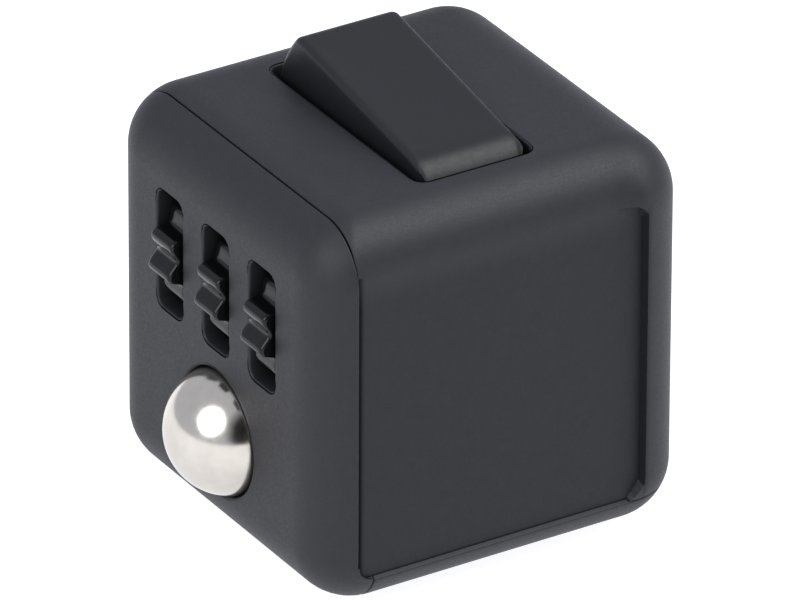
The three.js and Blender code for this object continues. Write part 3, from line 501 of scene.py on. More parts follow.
@dataclass
class RoundedSkin:
    """Part of the wall of a rounded cube.

    Every outer point is c + r n, with c on the inner box of half size `core` and n a unit normal.
    The inner skin is c + (r - wall) n. The rim between them is rounded over by a quarter circle.
    """

    half: float = HALF
    radius: float = 5.0
    wall: float = 2.0
    seam_edge: float = 0.12
    surface: Surface = field(default_factory=Surface)
    rims: list[tuple[Array, float]] = field(default_factory=list)

    @property
    def core(self) -> float:
        """Half size of the inner box that the rounding is carried round."""
        return self.half - self.radius

    def centre_of(self, points: Array) -> Array:
        """The nearest points of the inner box."""
        return np.clip(points, -self.core, self.core)

    def normal(self, points: Array) -> Array:
        """Outward normals of the rounded cube."""
        return unit(points - self.centre_of(points))

    def put(self, points: Array, keep: Array | None = None, wrap: tuple[bool, bool] = (False, False)) -> None:
        """Add a grid of outer points."""
        self.surface.grid(points, self.normal, keep, wrap)

    def on_face(self, p: Array, q: Array, r: Array) -> Move:
        """A function that puts a sheet's points (u, v) on the flat of face p, at half p + u q + v r."""
        return lambda sheet: self.half * p + sheet[..., :1] * q + sheet[..., 1:] * r

    def fillet(self, p: Array, q: Array, r: Array, angles: Array, along: Array) -> None:
        """Rounded edge along r, turning from face p to face q: n = cos a p + sin a q."""
        normal = np.cos(angles)[:, None] * p + np.sin(angles)[:, None] * q
        ends = self.core * (p + q) + self.radius * normal
        self.put(ends[:, None] + along[None, :, None] * r)

    def corner(self, p: Array, q: Array, r: Array, around: Array, up: Array) -> None:
        """Rounded corner: n = cos b (cos a p + sin a q) + sin b r, with a round r and b towards r."""
        if around.ndim == 1:
            around = np.broadcast_to(around, (len(up), len(around)))
        b = up[:, None, None]
        a = around[..., None]
        normal = np.cos(b) * (np.cos(a) * p + np.sin(a) * q) + np.sin(b) * r
        self.put(self.core * (p + q + r) + self.radius * normal)

    def plate(
        self,
        us: Array,
        vs: Array,
        holes: list[Hole],
        place: Move,
        flatten: Move = unchanged,
    ) -> None:
        """Sheet with holes: grid lines outside the holes' cells, and rings between cell and outline.

        A ring point is the outline point plus a share of the way to the cell's rim point.

        Args:
            us: grid lines along u.
            vs: grid lines along v.
            holes: the holes.
            place: puts points of the sheet in space.
            flatten: turns points of the sheet into points of the flat's plane.
        """
        keep = np.ones((len(us) - 1, len(vs) - 1), bool)
        mid_u, mid_v = (us[1:] + us[:-1]) / 2, (vs[1:] + vs[:-1]) / 2
        for hole in holes:
            u0, u1 = (us[np.argmin(np.abs(us - bound))] for bound in hole.cell[:2])
            v0, v1 = (vs[np.argmin(np.abs(vs - bound))] for bound in hole.cell[2:])
            keep &= ~np.outer((mid_u > u0) & (mid_u < u1), (mid_v > v0) & (mid_v < v1))
            u_in = us[(us >= u0) & (us <= u1)]
            v_in = vs[(vs >= v0) & (vs <= v1)]
            rim = np.concatenate([
                columns(u_in[:-1], v_in[0]), columns(u_in[-1], v_in[:-1]),
                columns(u_in[:0:-1], v_in[-1]), columns(u_in[0], v_in[:0:-1]),
            ])
            outline = hole.outline(rim, flatten)
            shares = np.array([0, 0.16, 0.36, 0.65, 1])[:, None, None]
            self.put(place(outline + shares * (rim - outline)), wrap=(False, True))
            if hole.floor is None:
                self.rims.append((place(outline), hole.edge))
            else:
                spokes = unit(outline - np.array(hole.centre))
                bowl = hole.floor[:, None, :1] * spokes + np.array(hole.centre)
                rows = place(bowl)
                rows -= hole.floor[:, None, 1:] * self.normal(rows)
                self.surface.grid(rows, self.normal, wrap=(False, True))
                self.rims.append((rows[-1], hole.edge))
        sheet = np.stack(np.meshgrid(us, vs, indexing="ij"), axis=-1)
        self.put(place(sheet), keep)

    def close(
        self,
        outer: Move = unchanged,
        inner: Move = unchanged,
    ) -> Surface:
        """Give the sheet its wall: round each open edge over, and join it to the inner skin.

        An edge point p with the outward in-surface direction m and normal n is drawn back to
        p - e m, and the rounding is p - e m + e sin(t) m - e (1 - cos t) n for t from 0 to 90 deg.

        Args:
            outer: changes the outer points.
            inner: changes the inner points.

        Returns:
            The closed surface.
        """
        base, faces = self.surface.merged()
        skin = outer(base)
        count = len(base)
        following = np.roll(faces, -1, axis=1)
        real = faces != following
        tails, heads = faces[real], following[real]
        open_edge = ~np.isin(tails * count + heads, heads * count + tails)
        tails, heads = tails[open_edge], heads[open_edge]
        area = np.cross(skin[faces[:, 2]] - skin[faces[:, 0]], skin[faces[:, 3]] - skin[faces[:, 1]])
        normal = np.zeros_like(skin)
        for k in range(4):
            np.add.at(normal, faces[:, k], area)
        normal = unit(normal)
        sideways = np.zeros_like(skin)
        across = np.cross(unit(skin[heads] - skin[tails]), normal[tails])
        np.add.at(sideways, tails, across)
        np.add.at(sideways, heads, across)
        edge = np.unique(tails)
        m, n = unit(sideways[edge]), normal[edge]
        reach = np.full(len(edge), self.seam_edge)
        for rim, rounding in self.rims:
            reach[np.isin(point_keys(base[edge]), point_keys(rim))] = rounding
        reach = reach[:, None]
        start = skin[edge] - reach * m
        skin = skin.copy()
        skin[edge] = start
        turns = np.radians([22.5, 45, 67.5, 90])[:, None, None]
        rows = start + reach * np.sin(turns) * m - reach * (1 - np.cos(turns)) * n
        inside = inner(self.centre_of(base) + (self.radius - self.wall) * self.normal(base))
        whole = Surface()
        whole.add(np.concatenate([skin, rows.reshape(-1, 3), inside]), np.zeros((0, 4), int))
        place = np.full(count, -1)
        place[edge] = np.arange(len(edge))
        lining_start = count + len(rows) * len(edge)
        rounded = np.arange(count, lining_start).reshape(len(rows), -1)
        levels = [edge, *rounded, lining_start + edge]
        strips = [
            np.stack([low[place[heads]], low[place[tails]], high[place[tails]], high[place[heads]]], axis=1)
            for low, high in zip(levels, levels[1:])
        ]
        whole.faces = [faces, *strips, faces[:, ::-1] + lining_start]
        return whole


# ---- Shells ----

@dataclass
class ShellSizes:
    """Sizes that the three shell pieces share."""

    seam: float = 13.4
    gap: float = 0.1
    flange_seam: float = 12.0
    line_step: float = 0.5
    window_half: tuple[float, float] = (11.0, 5.2)
    window_corner: float = 1.0
    slot_half: tuple[float, float] = (1.85, 5.0)
    slot_corner: float = 0.8
    slot_raise: float = 0.3
    ball_hole: float = 5.24
    stick_hole: float = 3.98
    stick_hole_inside: float = 6.0
    button_fit: float = 0.15
    pocket_floor: float = 0.8
    pocket_side: float = 12.05
    pocket_top: float = 12.25
    pocket_corner: float = 1.3
    pocket_blend: float = 4.4
    pocket_climb: float = 0.1
    pocket_fade_y: float = 9.0
    web_corner: float = 1.2
    web_lean: tuple[float, float] = (0.784, 0.622)
    web_z: float = -11.9
    ball_cell: float = 6.9
    funnel_end: float = 9.0
    dial_recess: float = 10.0
    recess_depth: float = 1.0
    post_hole: float = 1.85


class Shells:
    """The main shell, the front cover and the base cover."""

    def __init__(self) -> None:
        """Work out the grid lines that the pieces share."""
        self.sizes = ShellSizes()
        skin = RoundedSkin()
        self.core, self.radius, self.half = skin.core, skin.radius, skin.half
        core, step = self.core, self.sizes.line_step
        self.wheels = [joint_mm(f"wheel_{i}_roll") for i in (1, 2, 3)]
        self.ball = middle("steel_ball")
        self.buttons = [middle(f"button_{i}") for i in range(1, 6)]
        self.button_r = (box_mm("snap_dome_1")[1] - middle("snap_dome_1"))[0]
        pitch = self.wheels[1][0] - self.wheels[0][0]
        mid = self.wheels[1][0]
        self.slot_edges = [mid + k * pitch for k in (-1.5, -0.5, 0.5, 1.5)]
        self.ball_edges = [self.ball[0] - self.sizes.ball_cell, self.ball[0] + self.sizes.ball_cell]
        reach = max(b[0] for b in self.buttons)
        self.button_edges = [-1.5 * reach, -0.5 * reach, 0.5 * reach, 1.5 * reach]
        self.xs = spaced(sorted([-core, core, *self.slot_edges, *self.ball_edges, *self.button_edges]), step)
        self.slot_low, self.slot_high = -0.2, 11.0
        z_stops = [-core, -6.0, self.slot_low, 6.0, self.slot_high, core, *self.button_edges]
        zs = spaced(sorted(z_stops), step)
        self.zs = np.concatenate([zs[zs < 10.5], spaced([10.5, self.slot_high, core], 0.1)])
        y_stops = [-core, -6.3, 6.3, -6.0, 6.0, 10.5]
        self.ys = np.concatenate([spaced(sorted(y_stops), step), spaced([10.5, core], 0.1)[1:]])
        self.quarter = np.linspace(0, RIGHT_ANGLE, 19)
        fine_turn, coarse_turn, fine_end = (math.radians(v) for v in (1, 5, 25))
        fine, coarse = spaced([0, fine_end], fine_turn), spaced([fine_end, RIGHT_ANGLE], coarse_turn)
        self.quarter_fine = np.concatenate([fine, coarse[1:]])
        wall = [math.asin((self.sizes.pocket_side - d - core) / self.radius) for d in (0.1, 0.0)]
        near, far = spaced([0, wall[0]], fine_turn), spaced([wall[1], RIGHT_ANGLE], coarse_turn)
        self.quarter_to_back = np.concatenate([near, far])
        low = math.asin((self.sizes.seam - self.sizes.gap / 2 - core) / self.radius)
        self.to_seam = np.linspace(0, low, 14)
        self.from_seam = math.asin((self.sizes.seam + self.sizes.gap / 2 - core) / self.radius)

    # -- main shell --

    def pocket(self, points: Array) -> Array:
        """Sink the thumb rest into the +X side.

        The floor is the plane x = half - depth inside the outline. Across the outline's last
        stretch, `pocket_climb`, the surface climbs back to the cube. Above the outline it follows a
        circle of radius `pocket_blend` that is tangent to the floor, which fades into the cube
        towards the side wall.
        A slanted web cuts the outline's lower rear corner off.
        """
        s = self.sizes
        x, y, z = points.T
        floor = self.half - s.pocket_floor
        q_y = y - (s.pocket_side - s.pocket_corner)
        q_z = z - (s.pocket_top - s.pocket_corner)
        past = np.hypot(np.maximum(q_y, 0), np.maximum(q_z, 0))
        distance = past + np.minimum(np.maximum(q_y, q_z), 0) - s.pocket_corner
        lean_y, lean_z = s.web_lean
        distance = np.maximum(distance, lean_y * (y - s.pocket_side) - lean_z * (z - s.web_z))
        climb = smooth_step((distance + s.pocket_climb) / s.pocket_climb)
        rise = np.clip(z - s.pocket_top + 0.15, 0, s.pocket_blend)
        blended = floor - s.pocket_blend + np.sqrt(s.pocket_blend**2 - rise**2)
        fade = smooth_step((y - s.pocket_fade_y) / (s.pocket_side - s.pocket_fade_y))
        above = np.where(z > 0, blended + fade * (x - np.minimum(x, blended)), x)
        top = np.where(y > s.pocket_side, x, np.minimum(above, x))
        sunk = floor + climb * (np.maximum(top, floor) - floor)
        over = np.where(distance > 0, top, np.minimum(sunk, x))
        changed = points.copy()
        changed[:, 0] = np.where(x > self.core - 1, np.minimum(x, over), x)
        return changed

    def crease(self, points: Array) -> Array:
        """How dark the main shell's outside is painted: 0.2 across the thumb rest's floor, less towards its
        top, and more in its corners: painted shade of up to 0.4 at its rear wall and up to 0.95 along its
        front and bottom seams.
        """
        s = self.sizes
        x, y, z = points.T
        floor = self.half - s.pocket_floor
        on_floor = (np.abs(x - floor) < 0.03) & (np.abs(y) < 13.5)
        # Painted shade at the thumb rest's rear wall, fading out near its top.
        wall = (np.abs(y - s.pocket_side + 0.05) < 0.08) & (x > floor - 0.05)
        wall = 0.4 * wall * smooth_step((s.pocket_top - z) / 0.8)
        # Painted seam shadow on the floor along its front and bottom edges.
        seams = smooth_step(np.maximum((-12.7 - y) / 0.45, (-13.1 - z) / 0.2))
        floor_share = 0.2 * smooth_step((s.pocket_top - z) / 2.5)
        return np.maximum(wall, on_floor * (floor_share + 0.75 * seams))

    def main(self) -> bpy.types.Object:
        """The main shell: top, back and both sides, down to the two seams."""
        s, skin = self.sizes, RoundedSkin()
        window_x = joint_mm("rocker_flip")[0]
        window = Hole(
            (window_x, 0), s.window_half, s.window_corner, (-self.core, self.core, -6.3, 6.3), 0.22
        )
        skin.plate(self.xs, self.ys, [window], skin.on_face(Z, X, Y))
        stick = Hole((0, 0), (s.stick_hole,) * 2, s.stick_hole, (-6.0, 6.0, -6.0, 6.0), 0.2)
        skin.plate(self.ys, self.zs, [stick], skin.on_face(-X, Y, Z))
        reach = self.button_edges[2]
        button_r = self.button_r + s.button_fit
        keys = [
            Hole((b[0], b[2]), (button_r,) * 2, button_r, (
                b[0] - reach, b[0] + reach, b[2] - reach, b[2] + reach), 0.15)
            for b in self.buttons
        ]
        skin.plate(self.xs, self.zs, keys, skin.on_face(Y, X, Z))
        skin.plate(self.ys, self.zs, [], skin.on_face(X, Y, Z))
        fine, cut = self.quarter_fine, self.to_seam
        skin.fillet(Y, Z, X, fine, self.xs)
        skin.fillet(Z, -Y, X, cut, self.xs)
        skin.fillet(Y, -Z, X, cut, self.xs)
        for side, to_back in ((X, self.quarter_to_back), (-X, self.quarter)):
            skin.fillet(side, Z, Y, fine, self.ys)
            skin.fillet(side, -Z, Y, cut, self.ys)
            skin.fillet(side, Y, Z, to_back, self.zs)
            skin.fillet(side, -Y, Z, cut, self.zs)
            skin.corner(side, Y, Z, to_back, fine)
            skin.corner(side, Y, -Z, to_back, cut)
            skin.corner(side, Z, -Y, fine, cut)
            ny, nz = -np.sin(cut)[:, None], -np.sin(cut)[None, :]
            nx = np.sqrt(1 - ny**2 - nz**2)
            skin.put(self.core * (side - Y - Z) + self.radius * columns(side[0] * nx, ny, nz))
        whole = skin.close(self.pocket, self.widen_stick_hole)
        return self.dressed(whole, "main_shell_skin", "main_shell", self.crease)

    def dressed(
        self, whole: Surface, name: str, node: str, painted_outside_shade: Move | None = None
    ) -> bpy.types.Object:
        """Make a shell's object, and paint shade into its creases and its insides.

        Args:
            whole: the closed surface.
            name: the piece's name.
            node: the CAD node that it stands in for.
            painted_outside_shade: gives the painted shade on the outside; the insides get painted shade alike
                on every shell.

        Returns:
            The new object.
        """
        piece = whole.to_object(name, SHELL_ABS, "housing")
        co = np.zeros(len(piece.data.vertices) * 3, np.float32)
        piece.data.vertices.foreach_get("co", co)
        points = co.reshape(-1, 3) / MM - CENTRE
        # Painted shade: points more than 0.2 mm under the outer skin, the insides and the rims' walls, go up
        # to 0.85 of the way to black, except near the +X side where the thumb rest is sunk.
        below = self.radius - np.linalg.norm(points - np.clip(points, -self.core, self.core), axis=1)
        x, _, z = points.T
        outside = (x > self.half - 1.9) | ((x > self.core) & (z > self.core) & (below < 1.5))
        dark = 0.85 * smooth_step((below - 0.2) / 0.4) * ~outside
        if painted_outside_shade:
            dark = np.maximum(dark, painted_outside_shade(points))
        attribute = piece.data.attributes.new("crease", "FLOAT", "POINT")
        attribute.data.foreach_set("value", dark.astype(np.float32))
        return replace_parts(piece, node)

    def widen_stick_hole(self, points: Array) -> Array:
        """Open the joystick's hole out towards the inside, so that its dome can turn.

        A point of the inner skin at distance d from the hole's axis moves out to a distance that
        goes straight from the inside radius at the hole to no change at the funnel's end.
        """
        s, still = self.sizes, self.sizes.funnel_end
        d = np.hypot(points[:, 1], points[:, 2])
        slope = (still - s.stick_hole_inside) / (still - s.stick_hole)
        wider = s.stick_hole_inside + (d - s.stick_hole) * slope
        here = (points[:, 0] < -self.core) & (d < still)
        share = np.where(here, wider / np.maximum(d, 1e-6), 1)
        changed = points.copy()
        changed[:, 1:] *= share[:, None]
        return changed

    # -- front cover --

    def front(self) -> bpy.types.Object:
        """The front cover: wheel slots, ball hole, skirt and the flange under the body."""
        s, skin = self.sizes, RoundedSkin()
        cell_low = math.radians(16.8)
        lower = np.linspace(0, cell_low, 4)
        phi = np.concatenate([lower, np.linspace(cell_low, RIGHT_ANGLE - self.from_seam, 10)[1:]])
        beta = RIGHT_ANGLE - phi[::-1]
        v_low = -self.core - self.radius * lower[:0:-1]
        vs = np.concatenate([v_low, self.zs])

        def flatten(q: Array) -> Array:
            """Unrolled sheet to (x, z): below the flat, z = -core - r sin(length / r)."""
            bent = -self.core - self.radius * np.sin(np.minimum((-self.core - q[..., 1]) / self.radius, 1.5))
            return columns(q[..., 0], np.where(q[..., 1] < -self.core, bent, q[..., 1]))

        def place(q: Array) -> Array:
            """Unrolled sheet to space: y = -core - r cos(length / r) below the flat."""
            turn = np.maximum((-self.core - q[..., 1]) / self.radius, 0)
            x, z = np.moveaxis(flatten(q), -1, 0)
            return columns(x, -self.core - self.radius * np.cos(turn), z)

        holes = [
            Hole((w[0], w[2] + s.slot_raise), s.slot_half, s.slot_corner, (
                self.slot_edges[i], self.slot_edges[i + 1], self.slot_low, self.slot_high), 0.22)
            for i, w in enumerate(self.wheels)
        ]
        holes.append(Hole(
            (self.ball[0], self.ball[2]), (s.ball_hole,) * 2, s.ball_hole,
            (*self.ball_edges, vs[0], self.slot_low), 0.3,
        ))
        skin.plate(self.xs, vs, holes, place, flatten)
        skin.fillet(Z, -Y, X, beta, self.xs)
        skin.fillet(-Z, -Y, X, RIGHT_ANGLE - phi[len(lower) - 1:], self.xs)
        cut = math.asin(math.sin(self.from_seam) / math.cos(self.from_seam))
        shares = np.linspace(0, 1, 12)
        around = np.concatenate([np.linspace(0, cut, 7)[:-1], cut + shares * (RIGHT_ANGLE - cut)])
        flange_end = math.asin((s.flange_seam + s.gap / 2 - self.core) / self.radius)
        rows = np.linspace(self.from_seam, flange_end, 8)
        starts = np.arcsin(np.minimum(math.sin(self.from_seam) / np.cos(rows), 1))
        skirt = starts[:, None] + shares * (RIGHT_ANGLE - starts[:, None])
        for side in (X, -X):
            skin.fillet(side, -Y, Z, beta, self.zs)
            skin.corner(side, Z, -Y, self.quarter, beta)
            skin.corner(side, -Z, -Y, around, beta)
            skin.corner(side, -Z, -Y, skirt, rows)
        skin.fillet(-Z, -Y, X, rows, self.xs)
        whole = skin.close()
        self.ribs(whole)
        self.web(whole)
        return self.dressed(whole, "front_cover_skin", "gear_side_cover")

    def ribs(self, whole: Surface) -> None:
        """Ribs behind the face, between the slots, that carry the wheels' shaft."""
        y_axis, z_axis = self.wheels[0][1:]
        for x in self.slot_edges:
            low = np.array([x - 1, -self.half + 1.9, z_axis - 2.2])
            high = np.array([x + 1, y_axis + 1.6, z_axis + 2.2])
            rounded_block(whole, low, high, 0.25)

    def web(self, whole: Surface) -> None:
        """The web that fills the thumb rest's lower front corner, proud of the main shell's floor.

        Its outline is a quarter circle facing the thumb rest and the square corner behind it; a point
        is a share of the way from one to the other, and it is as thick as the cube stands proud.
        """
        s = self.sizes
        tip = np.array([-s.seam - 0.17] * 2)
        middle_yz = tip + 0.25 + s.web_corner
        turns = np.linspace(0, RIGHT_ANGLE, 13)
        bow = middle_yz - s.web_corner * columns(np.cos(turns), np.sin(turns))
        down, level = np.clip(turns / turns[6], 0, 1), np.clip(turns / turns[6] - 1, 0, 1)
        square = tip + columns(level, 1 - down) * (middle_yz - tip)
        shares = np.linspace(0, 1, 8)[:, None, None]
        yz = bow + shares * (square - bow)
        depth = np.abs(np.minimum(yz + self.core, 0))
        outer_x = self.core + np.sqrt(self.radius**2 - (depth**2).sum(axis=-1))
        inner_x = np.minimum(self.half - s.pocket_floor + 0.02, outer_x - 0.12)
        y, z = np.moveaxis(yz, -1, 0)
        loop = np.concatenate([columns(outer_x, y, z), columns(inner_x, y, z)[::-1]])
        whole.add(*self.closed_band(loop))

    @staticmethod
    def closed_band(loop: Array) -> tuple[Array, Array]:
        """A closed body from a grid whose rows make a loop, with its two end columns filled."""
        rows, columns = loop.shape[:2]
        index = np.arange(rows * columns).reshape(rows, columns)
        ring = np.vstack([index, index[:1]])
        faces = quads(ring).reshape(-1, 4)
        half = rows // 2
        caps = []
        for column, step in ((0, 1), (columns - 1, -1)):
            near, far = index[:half, column], index[::-1][:half, column]
            cap = np.stack([near[:-1], near[1:], far[1:], far[:-1]], axis=1)
            caps.append(cap[:, ::step])
        return loop.reshape(-1, 3), np.concatenate([faces, *caps])

    # -- base cover --

    def base(self) -> bpy.types.Object:
        """The base cover: the dial's round recess, and a skirt on three sides."""
        s, skin = self.sizes, RoundedSkin()
        delta = np.linspace(self.from_seam, RIGHT_ANGLE, 14)
        recess, deep, post = s.dial_recess, s.recess_depth, s.post_hole
        floor = profile_of(
            (recess + 0.15, 0), (recess + 0.06, 0.03), (recess + 0.02, 0.09), (recess, 0.18),
            (recess, deep), (recess - 0.4, deep), (6.5, deep), (3.5, deep), (post + 0.4, deep), (post, deep),
        )
        hole = Hole((0, 0), (recess + 0.15,) * 2, recess + 0.15, (
            self.xs[0], self.xs[-1], self.ys[0], self.ys[-1]), 0.1, floor)
        skin.plate(self.xs, self.ys, [hole], skin.on_face(-Z, X, Y))
        skin.fillet(Y, -Z, X, delta, self.xs)
        front_ny = -(s.flange_seam - s.gap / 2 - self.core) / self.radius
        ny = np.linspace(0, front_ny, 4)
        skin.fillet(-Z, -Y, X, np.arcsin(-ny), self.xs)
        seam_nz = math.sin(self.from_seam)
        widest = np.sqrt(1 - seam_nz**2 - ny**2)
        nx = np.cos(delta)[None, :] * (widest / widest[0])[:, None]
        nz = -np.sqrt(np.maximum(1 - nx**2 - ny[:, None]**2, 0))
        for side in (X, -X):
            skin.fillet(side, -Z, Y, delta, self.ys)
            skin.corner(side, Y, -Z, self.quarter, delta)
            normal = columns(side[0] * nx, ny[:, None], nz)
            skin.put(self.core * (side - Y - Z) + self.radius * normal)
        return self.dressed(skin.close(), "base_cover_skin", "base_cover")


def rounded_block(surface: Surface, low: Array, high: Array, edge: float) -> None:
    """Add a box with rounded edges: a sphere's grid whose centre is pushed out to the box's corners."""
    turns, rises = np.linspace(-math.pi, math.pi, 33)[:-1], np.linspace(-math.pi / 2, math.pi / 2, 17)
    turns = turns + turns[1] / 64
    b = rises[:, None]
    normal = columns(np.cos(b) * np.cos(turns), np.cos(b) * np.sin(turns), np.sin(b))
    mid, half = (low + high) / 2, (high - low) / 2 - edge
    points = mid + np.sign(np.round(normal, 9)) * half + edge * normal
    surface.grid(points, from_middle(mid), wrap=(False, True))


# ---- Rocker ----

@dataclass
class Rocker:
    """The tilting rocker cap: a shell whose ends are arcs about its pivot."""

    radius: float = 11.15
    width: float = 9.0
    top: float = 6.4
    foot: float = -0.45
    high_end_round: float = 0.55
    low_end_round: float = 1.7
    side_round: float = 0.6
    upright_round: float = 0.6
    wall: float = 1.4
    dish: float = 0.06
    tilt_deg: float = 10.15
    side_points: int = 14

    def loop(self, far_x: Array, near_x: Array, half_y: Array, corner: Array) -> tuple[Array, Array]:
        """Rounded rectangles, one for each row.

        Args:
            far_x: reach towards +X, rows by columns.
            near_x: reach towards -X.
            half_y: half width.
            corner: corner radius.

        Returns:
            The points, and the outward direction in each column.
        """
        turns = np.linspace(0, RIGHT_ANGLE, 8)
        directions, boxes = [], []
        for quarter, (sx, sy) in enumerate([(1, 1), (-1, 1), (-1, -1), (1, -1)]):
            angle = turns + quarter * RIGHT_ANGLE
            directions.append(columns(np.cos(angle), np.sin(angle)))
            boxes.append(np.tile([sx, sy], (len(turns), 1)))
            along = np.linspace(0, 1, self.side_points)[1:-1, None]
            ends = [(-1, 1), (-1, -1), (1, -1), (1, 1)][quarter]
            boxes.append((1 - along) * np.array([sx, sy]) + along * np.array(ends))
            directions.append(np.tile([np.cos(angle[-1]), np.sin(angle[-1])], (len(along), 1)))
        direction, box = np.concatenate(directions), np.concatenate(boxes)
        share = (1 + box[:, 0]) / 2
        x = share * (far_x - corner) - (1 - share) * (near_x - corner)
        points = columns(x, box[:, 1] * (half_y - corner)) + corner[..., None] * direction
        return points, direction

    def shell(self, inset: float) -> Array:
        """Rows from the foot up to the middle of the top, drawn in by `inset`.

        The half length at height z is sqrt(R^2 - z^2). The last stretch is a quadratic Bezier curve
        whose control point is the corner: short at the sides and the high end, long at the low end.
        """
        radius, top = self.radius - inset, self.top - inset
        half_y = self.width / 2 - inset
        probe = np.zeros((1, 1))
        _, direction = self.loop(probe + radius, probe + radius, probe + half_y, probe + 0.1)
        end_round = np.where(direction[:, 0] > 0, self.low_end_round, self.high_end_round)
        rounding = (self.side_round + (end_round - self.side_round) * direction[:, 0] ** 2)[None, :]
        climb = np.linspace(0, 1, 9)[:, None]
        z_wall = self.foot + climb * (top - rounding - self.foot)
        upright = max(self.upright_round - 0.5 * inset, 0.1)
        corner_x = math.sqrt(radius**2 - top**2)
        t = np.linspace(0, 1, 8)[1:, None]
        ends = np.array([self.low_end_round, self.high_end_round])
        start_x = np.sqrt(radius**2 - (top - ends) ** 2)
        bend_x = (1 - t) ** 2 * start_x + 2 * t * (1 - t) * corner_x + t**2 * (corner_x - ends)
        far, near = bend_x[:, :1], bend_x[:, 1:]
        bend_y = half_y - t**2 * self.side_round
        z_bend = (1 - t) ** 2 * (top - rounding) + (1 - (1 - t) ** 2) * top
        wall_x = np.sqrt(radius**2 - z_wall**2)
        low, _ = self.loop(wall_x, wall_x, half_y + 0 * wall_x, upright + 0 * wall_x)
        narrowing = upright * (1 - 0.45 * t)
        flat = 0 * rounding
        high, _ = self.loop(far + flat, near + flat, bend_y + flat, narrowing + flat)
        rows = [
            np.concatenate([low, z_wall[..., None]], axis=-1),
            np.concatenate([high, (z_bend + flat)[..., None]], axis=-1),
        ]
        rim = rows[1][-1]
        share = np.array([0.93, 0.8, 0.6, 0.4, 0.2, 0.0])[:, None]
        sheet = share[..., None] * rim[None, :, :2]
        z_sheet = top - self.dish * (1 - share**2) + 0 * rim[None, :, 2]
        rows.append(np.concatenate([sheet, z_sheet[..., None]], axis=-1))
        return np.concatenate(rows)

    def build(self) -> bpy.types.Object:
        """Make the rocker, tilted about its pivot, and stand it in for the CAD rocker."""
        outer, inner = self.shell(0), self.shell(self.wall)
        pivot = joint_mm("rocker_flip")
        surface = Surface()
        whole = np.concatenate([inner[::-1], outer])
        points = turned_about(whole, Y, math.radians(self.tilt_deg), np.zeros(3))
        surface.grid(points + pivot, np.zeros_like, wrap=(False, True))
        piece = surface.to_object("rocker_cap", ROCKER_ABS, "rocker")
        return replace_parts(piece, "rocker")


# ---- Thumb wheels ----

@dataclass
class ThumbWheels:
    """Three scalloped wheels on one shaft."""

    radius: float = 4.15
    wave: float = 0.85
    teeth: int = 9
    phase_deg: float = 26
    width: float = 3.2
    edge: float = 0.3
    bore: float = 0.8
    ring: float = 2.4

    def build(self) -> list[bpy.types.Object]:
        """Make the wheels.

        A wheel is a profile carried round the X axis. The rim's radius at the angle a from the
        first tooth is R - wave / 2 (1 - cos(teeth a)), which the profile's inset is taken from.
        """
        half, e = self.width / 2, self.edge
        turn = np.radians(np.linspace(0, 90, 6))
        shares = np.array([0.0, 0.35, 0.7, 0.92])
        side = np.concatenate([
            columns(-half, shares, e),
            columns(-half + e * (1 - np.cos(turn)), 1, e * (1 - np.sin(turn))),
            columns(np.linspace(-half + e, 0, 4)[1:], 1, 0),
        ])
        xs, share, inset = np.concatenate([side, side[-2::-1] * (-1, 1, 1)]).T[..., None]
        angles = np.linspace(0, 2 * math.pi, self.teeth * 24, endpoint=False)
        rim = self.radius - self.wave / 2 * (1 - np.cos(self.teeth * angles))
        radius = self.bore + share * (rim - inset - self.bore)
        world = angles - math.radians(self.phase_deg)
        made = []
        for i in (1, 2, 3):
            axis = joint_mm(f"wheel_{i}_roll")
            points = columns(xs, -radius * np.cos(world), -radius * np.sin(world)) + axis
            surface = Surface()
            surface.grid(points, lambda p, at=axis: away_from_ring(p, at, self.ring), wrap=(True, True))
            made.append(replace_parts(
                surface.to_object(f"scalloped_wheel_{i}", WHEEL_ACETAL, f"wheel_{i}"), f"thumb_wheel_{i}"))
        return made


def away_from_ring(points: Array, axis: Array, radius: float) -> Array:
    """Direction away from a circle about the X axis, which is outward on a ring-shaped body."""
    radial = (points - axis) * np.array([0, 1, 1])
    return points - axis - radius * unit(radial)


# ---- Steel ball ----

@dataclass
class SteelBall:
    """The ball that rolls and clicks."""

    radius: float = 5.2

    def build(self) -> bpy.types.Object:
        """Make the ball: centre + r (cos b cos a, cos b sin a, sin b), with its poles on the X axis."""
        centre = middle("steel_ball")
        surface = Surface()
        lathe(surface, arc((0, 0), self.radius, -90, 90, 96), centre, X, 128)
        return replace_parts(surface.to_object("rolling_ball", BALL_STEEL, "ball", 180), "steel_ball")


# ---- Push buttons ----

@dataclass
class PushButtons:
    """Five buttons with soft rims and slightly crowned tops."""

    radius: float = 2.5
    proud: float = 1.6
    edge: float = 0.5
    crown: float = 0.12
    flange: float = 0.6
    flange_low: float = -3.1
    flange_high: float = -2.25
    stem: float = 0.8

    def build(self) -> list[bpy.types.Object]:
        """Make the buttons: a profile turned about the Y axis through each button's middle."""
        made = []
        for i in range(1, 6):
            node = f"button_{i}"
            low, high = box_mm(node)
            centre = (low + high) / 2
            centre[1] = HALF
            foot, stem = low[1] - HALF, self.stem
            flange_low, flange_high = self.flange_low, self.flange_high
            r, e, top = self.radius, self.edge, self.proud
            wide = r + self.flange
            crown_r = np.linspace(r - e, 0, 8)[1:]
            crown_h = top + self.crown * (1 - (crown_r / (r - e)) ** 2) - self.crown
            profile = profile_of(
                (0, foot), (stem, foot), (stem, flange_low), (wide, flange_low), (wide, flange_high),
                (r, flange_high + 0.05), (r, 0),
                arc((r - e, top - self.crown - e), e, 0, 90), columns(crown_r, crown_h),
            )
            surface = Surface()
            lathe(surface, profile, centre, Y, 72)
            made.append(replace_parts(surface.to_object(f"push_button_{i}", BUTTON_ABS, node), node))
        return made


# ---- Joystick ----

